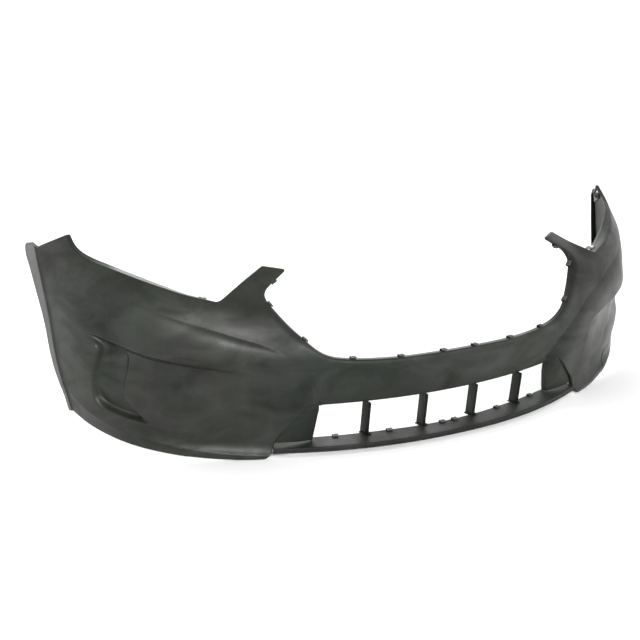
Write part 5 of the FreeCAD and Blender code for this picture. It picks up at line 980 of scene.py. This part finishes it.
# ---- floor, lights, camera -------------------------------------------------------------
fm, fn_, fl = node_mat("stage_paper")
o_ = fn_.new("ShaderNodeOutputMaterial"); b_ = fn_.new("ShaderNodeBsdfPrincipled"); nz_ = fn_.new("ShaderNodeTexNoise")
nz_.inputs["Scale"].default_value = 3.0; rp_ = fn_.new("ShaderNodeValToRGB")
rp_.color_ramp.elements[0].color = (0.90, 0.90, 0.90, 1); rp_.color_ramp.elements[1].color = (0.93, 0.93, 0.93, 1)
fl.new(nz_.outputs["Fac"], rp_.inputs["Fac"]); fl.new(rp_.outputs["Color"], b_.inputs["Base Color"]); b_.inputs["Roughness"].default_value = 0.9
fl.new(b_.outputs["BSDF"], o_.inputs["Surface"])
fme = bpy.data.meshes.new("stage_floor"); fb = bmesh.new()
bmesh.ops.create_grid(fb, x_segments=8, y_segments=8, size=60.0)
fb.to_mesh(fme); fb.free()
floor = bpy.data.objects.new("stage_floor", fme); floor.location = (0, 0, -0.0004); floor.data.materials.append(fm)
bpy.context.scene.collection.objects.link(floor); floor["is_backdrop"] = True
world = bpy.data.worlds.new("studio"); world.use_nodes = True
wn, wl = world.node_tree.nodes, world.node_tree.links
bg = wn["Background"]; bg.inputs["Color"].default_value = (1.0, 1.0, 1.0, 1)
def wmath(op, a, b=None, clamp=False):
    n = wn.new("ShaderNodeMath"); n.operation = op; n.use_clamp = clamp
    for i, v in enumerate((a, b)):
        if v is None: continue
        if isinstance(v, (int, float)): n.inputs[i].default_value = v
        else: wl.new(v, n.inputs[i])
    return n.outputs[0]
# studio cove: a bright band low down all round, weaker towards the car's sides, and a
# dimmer ceiling
wc = wn.new("ShaderNodeTexCoord"); ws = wn.new("ShaderNodeSeparateXYZ"); wl.new(wc.outputs["Generated"], ws.inputs[0])
def wramp(src, a, b, c, d):
    n = wn.new("ShaderNodeMapRange"); n.interpolation_type = "SMOOTHSTEP"
    for i, v in ((1, a), (2, b), (3, c), (4, d)): n.inputs[i].default_value = v
    wl.new(src, n.inputs[0]); return n.outputs[0]
side_ = wmath("POWER", wmath("ABSOLUTE", ws.outputs[0]), 2.0)
band = wramp(ws.outputs[2], 0.34, 0.66, 2.0, 0.0)
band = wmath("MULTIPLY", band, wramp(ws.outputs[2], 0.02, 0.16, 0.30, 1.0))
band = wmath("MULTIPLY", band, wmath("SUBTRACT", 1.0, wmath("MULTIPLY", side_, wramp(ws.outputs[0], -0.2, 0.5, 0.72, 0.95))))
# a reflector stands behind the left wing
card = wmath("MULTIPLY", wramp(ws.outputs[1], 0.40, 0.80, 0.0, 1.7), wramp(ws.outputs[0], 0.10, -0.20, 0.0, 1.0))
band = wmath("ADD", band, wmath("MULTIPLY", card, wramp(ws.outputs[2], 0.75, 0.35, 0.0, 1.0)))
val_ = wmath("ADD", band, wramp(ws.outputs[2], 0.02, 0.30, 1.02, 0.78))
wl.new(val_, bg.inputs["Strength"])
bpy.context.scene.world = world
def area(name, loc, target, size, size_y, power, color=(1, 1, 1)):
    l = bpy.data.lights.new(name, "AREA"); l.shape = "RECTANGLE"; l.size = size; l.size_y = size_y; l.energy = power; l.color = color
    o = bpy.data.objects.new(name, l); o.location = loc
    o.rotation_euler = (Vector(target) - Vector(loc)).to_track_quat("-Z", "Y").to_euler()
    bpy.context.scene.collection.objects.link(o); return o
area("key_back", (0.4, 2.8, 2.4), (0, 0.1, 0.2), 3.0, 1.0, 46)
area("key_front", (-1.7, -4.0, 1.9), (-0.2, -0.1, 0.25), 3.0, 0.9, 118)
cam_d = bpy.data.cameras.new("camera"); cam_d.sensor_width = 36.0; cam_d.lens = 1050.0 / 640.0 * 36.0
cam = bpy.data.objects.new("camera", cam_d)
az, el = math.radians(-29.163), math.radians(15.472)
back = Vector((math.sin(az) * math.cos(el), -math.cos(az) * math.cos(el), math.sin(el)))
cam.location = (-1.6192, -2.2427 - DY / 1000.0, 1.0483 + DZ / 1000.0)
cam.rotation_euler = back.to_track_quat("Z", "Y").to_euler()
bpy.context.scene.collection.objects.link(cam); bpy.context.scene.camera = cam
bpy.context.scene.view_settings.view_transform = "Standard"; bpy.context.scene.view_settings.exposure = 0.15
{"cad": CAD_BOX, "visual": [list(map(float, c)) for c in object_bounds()]}
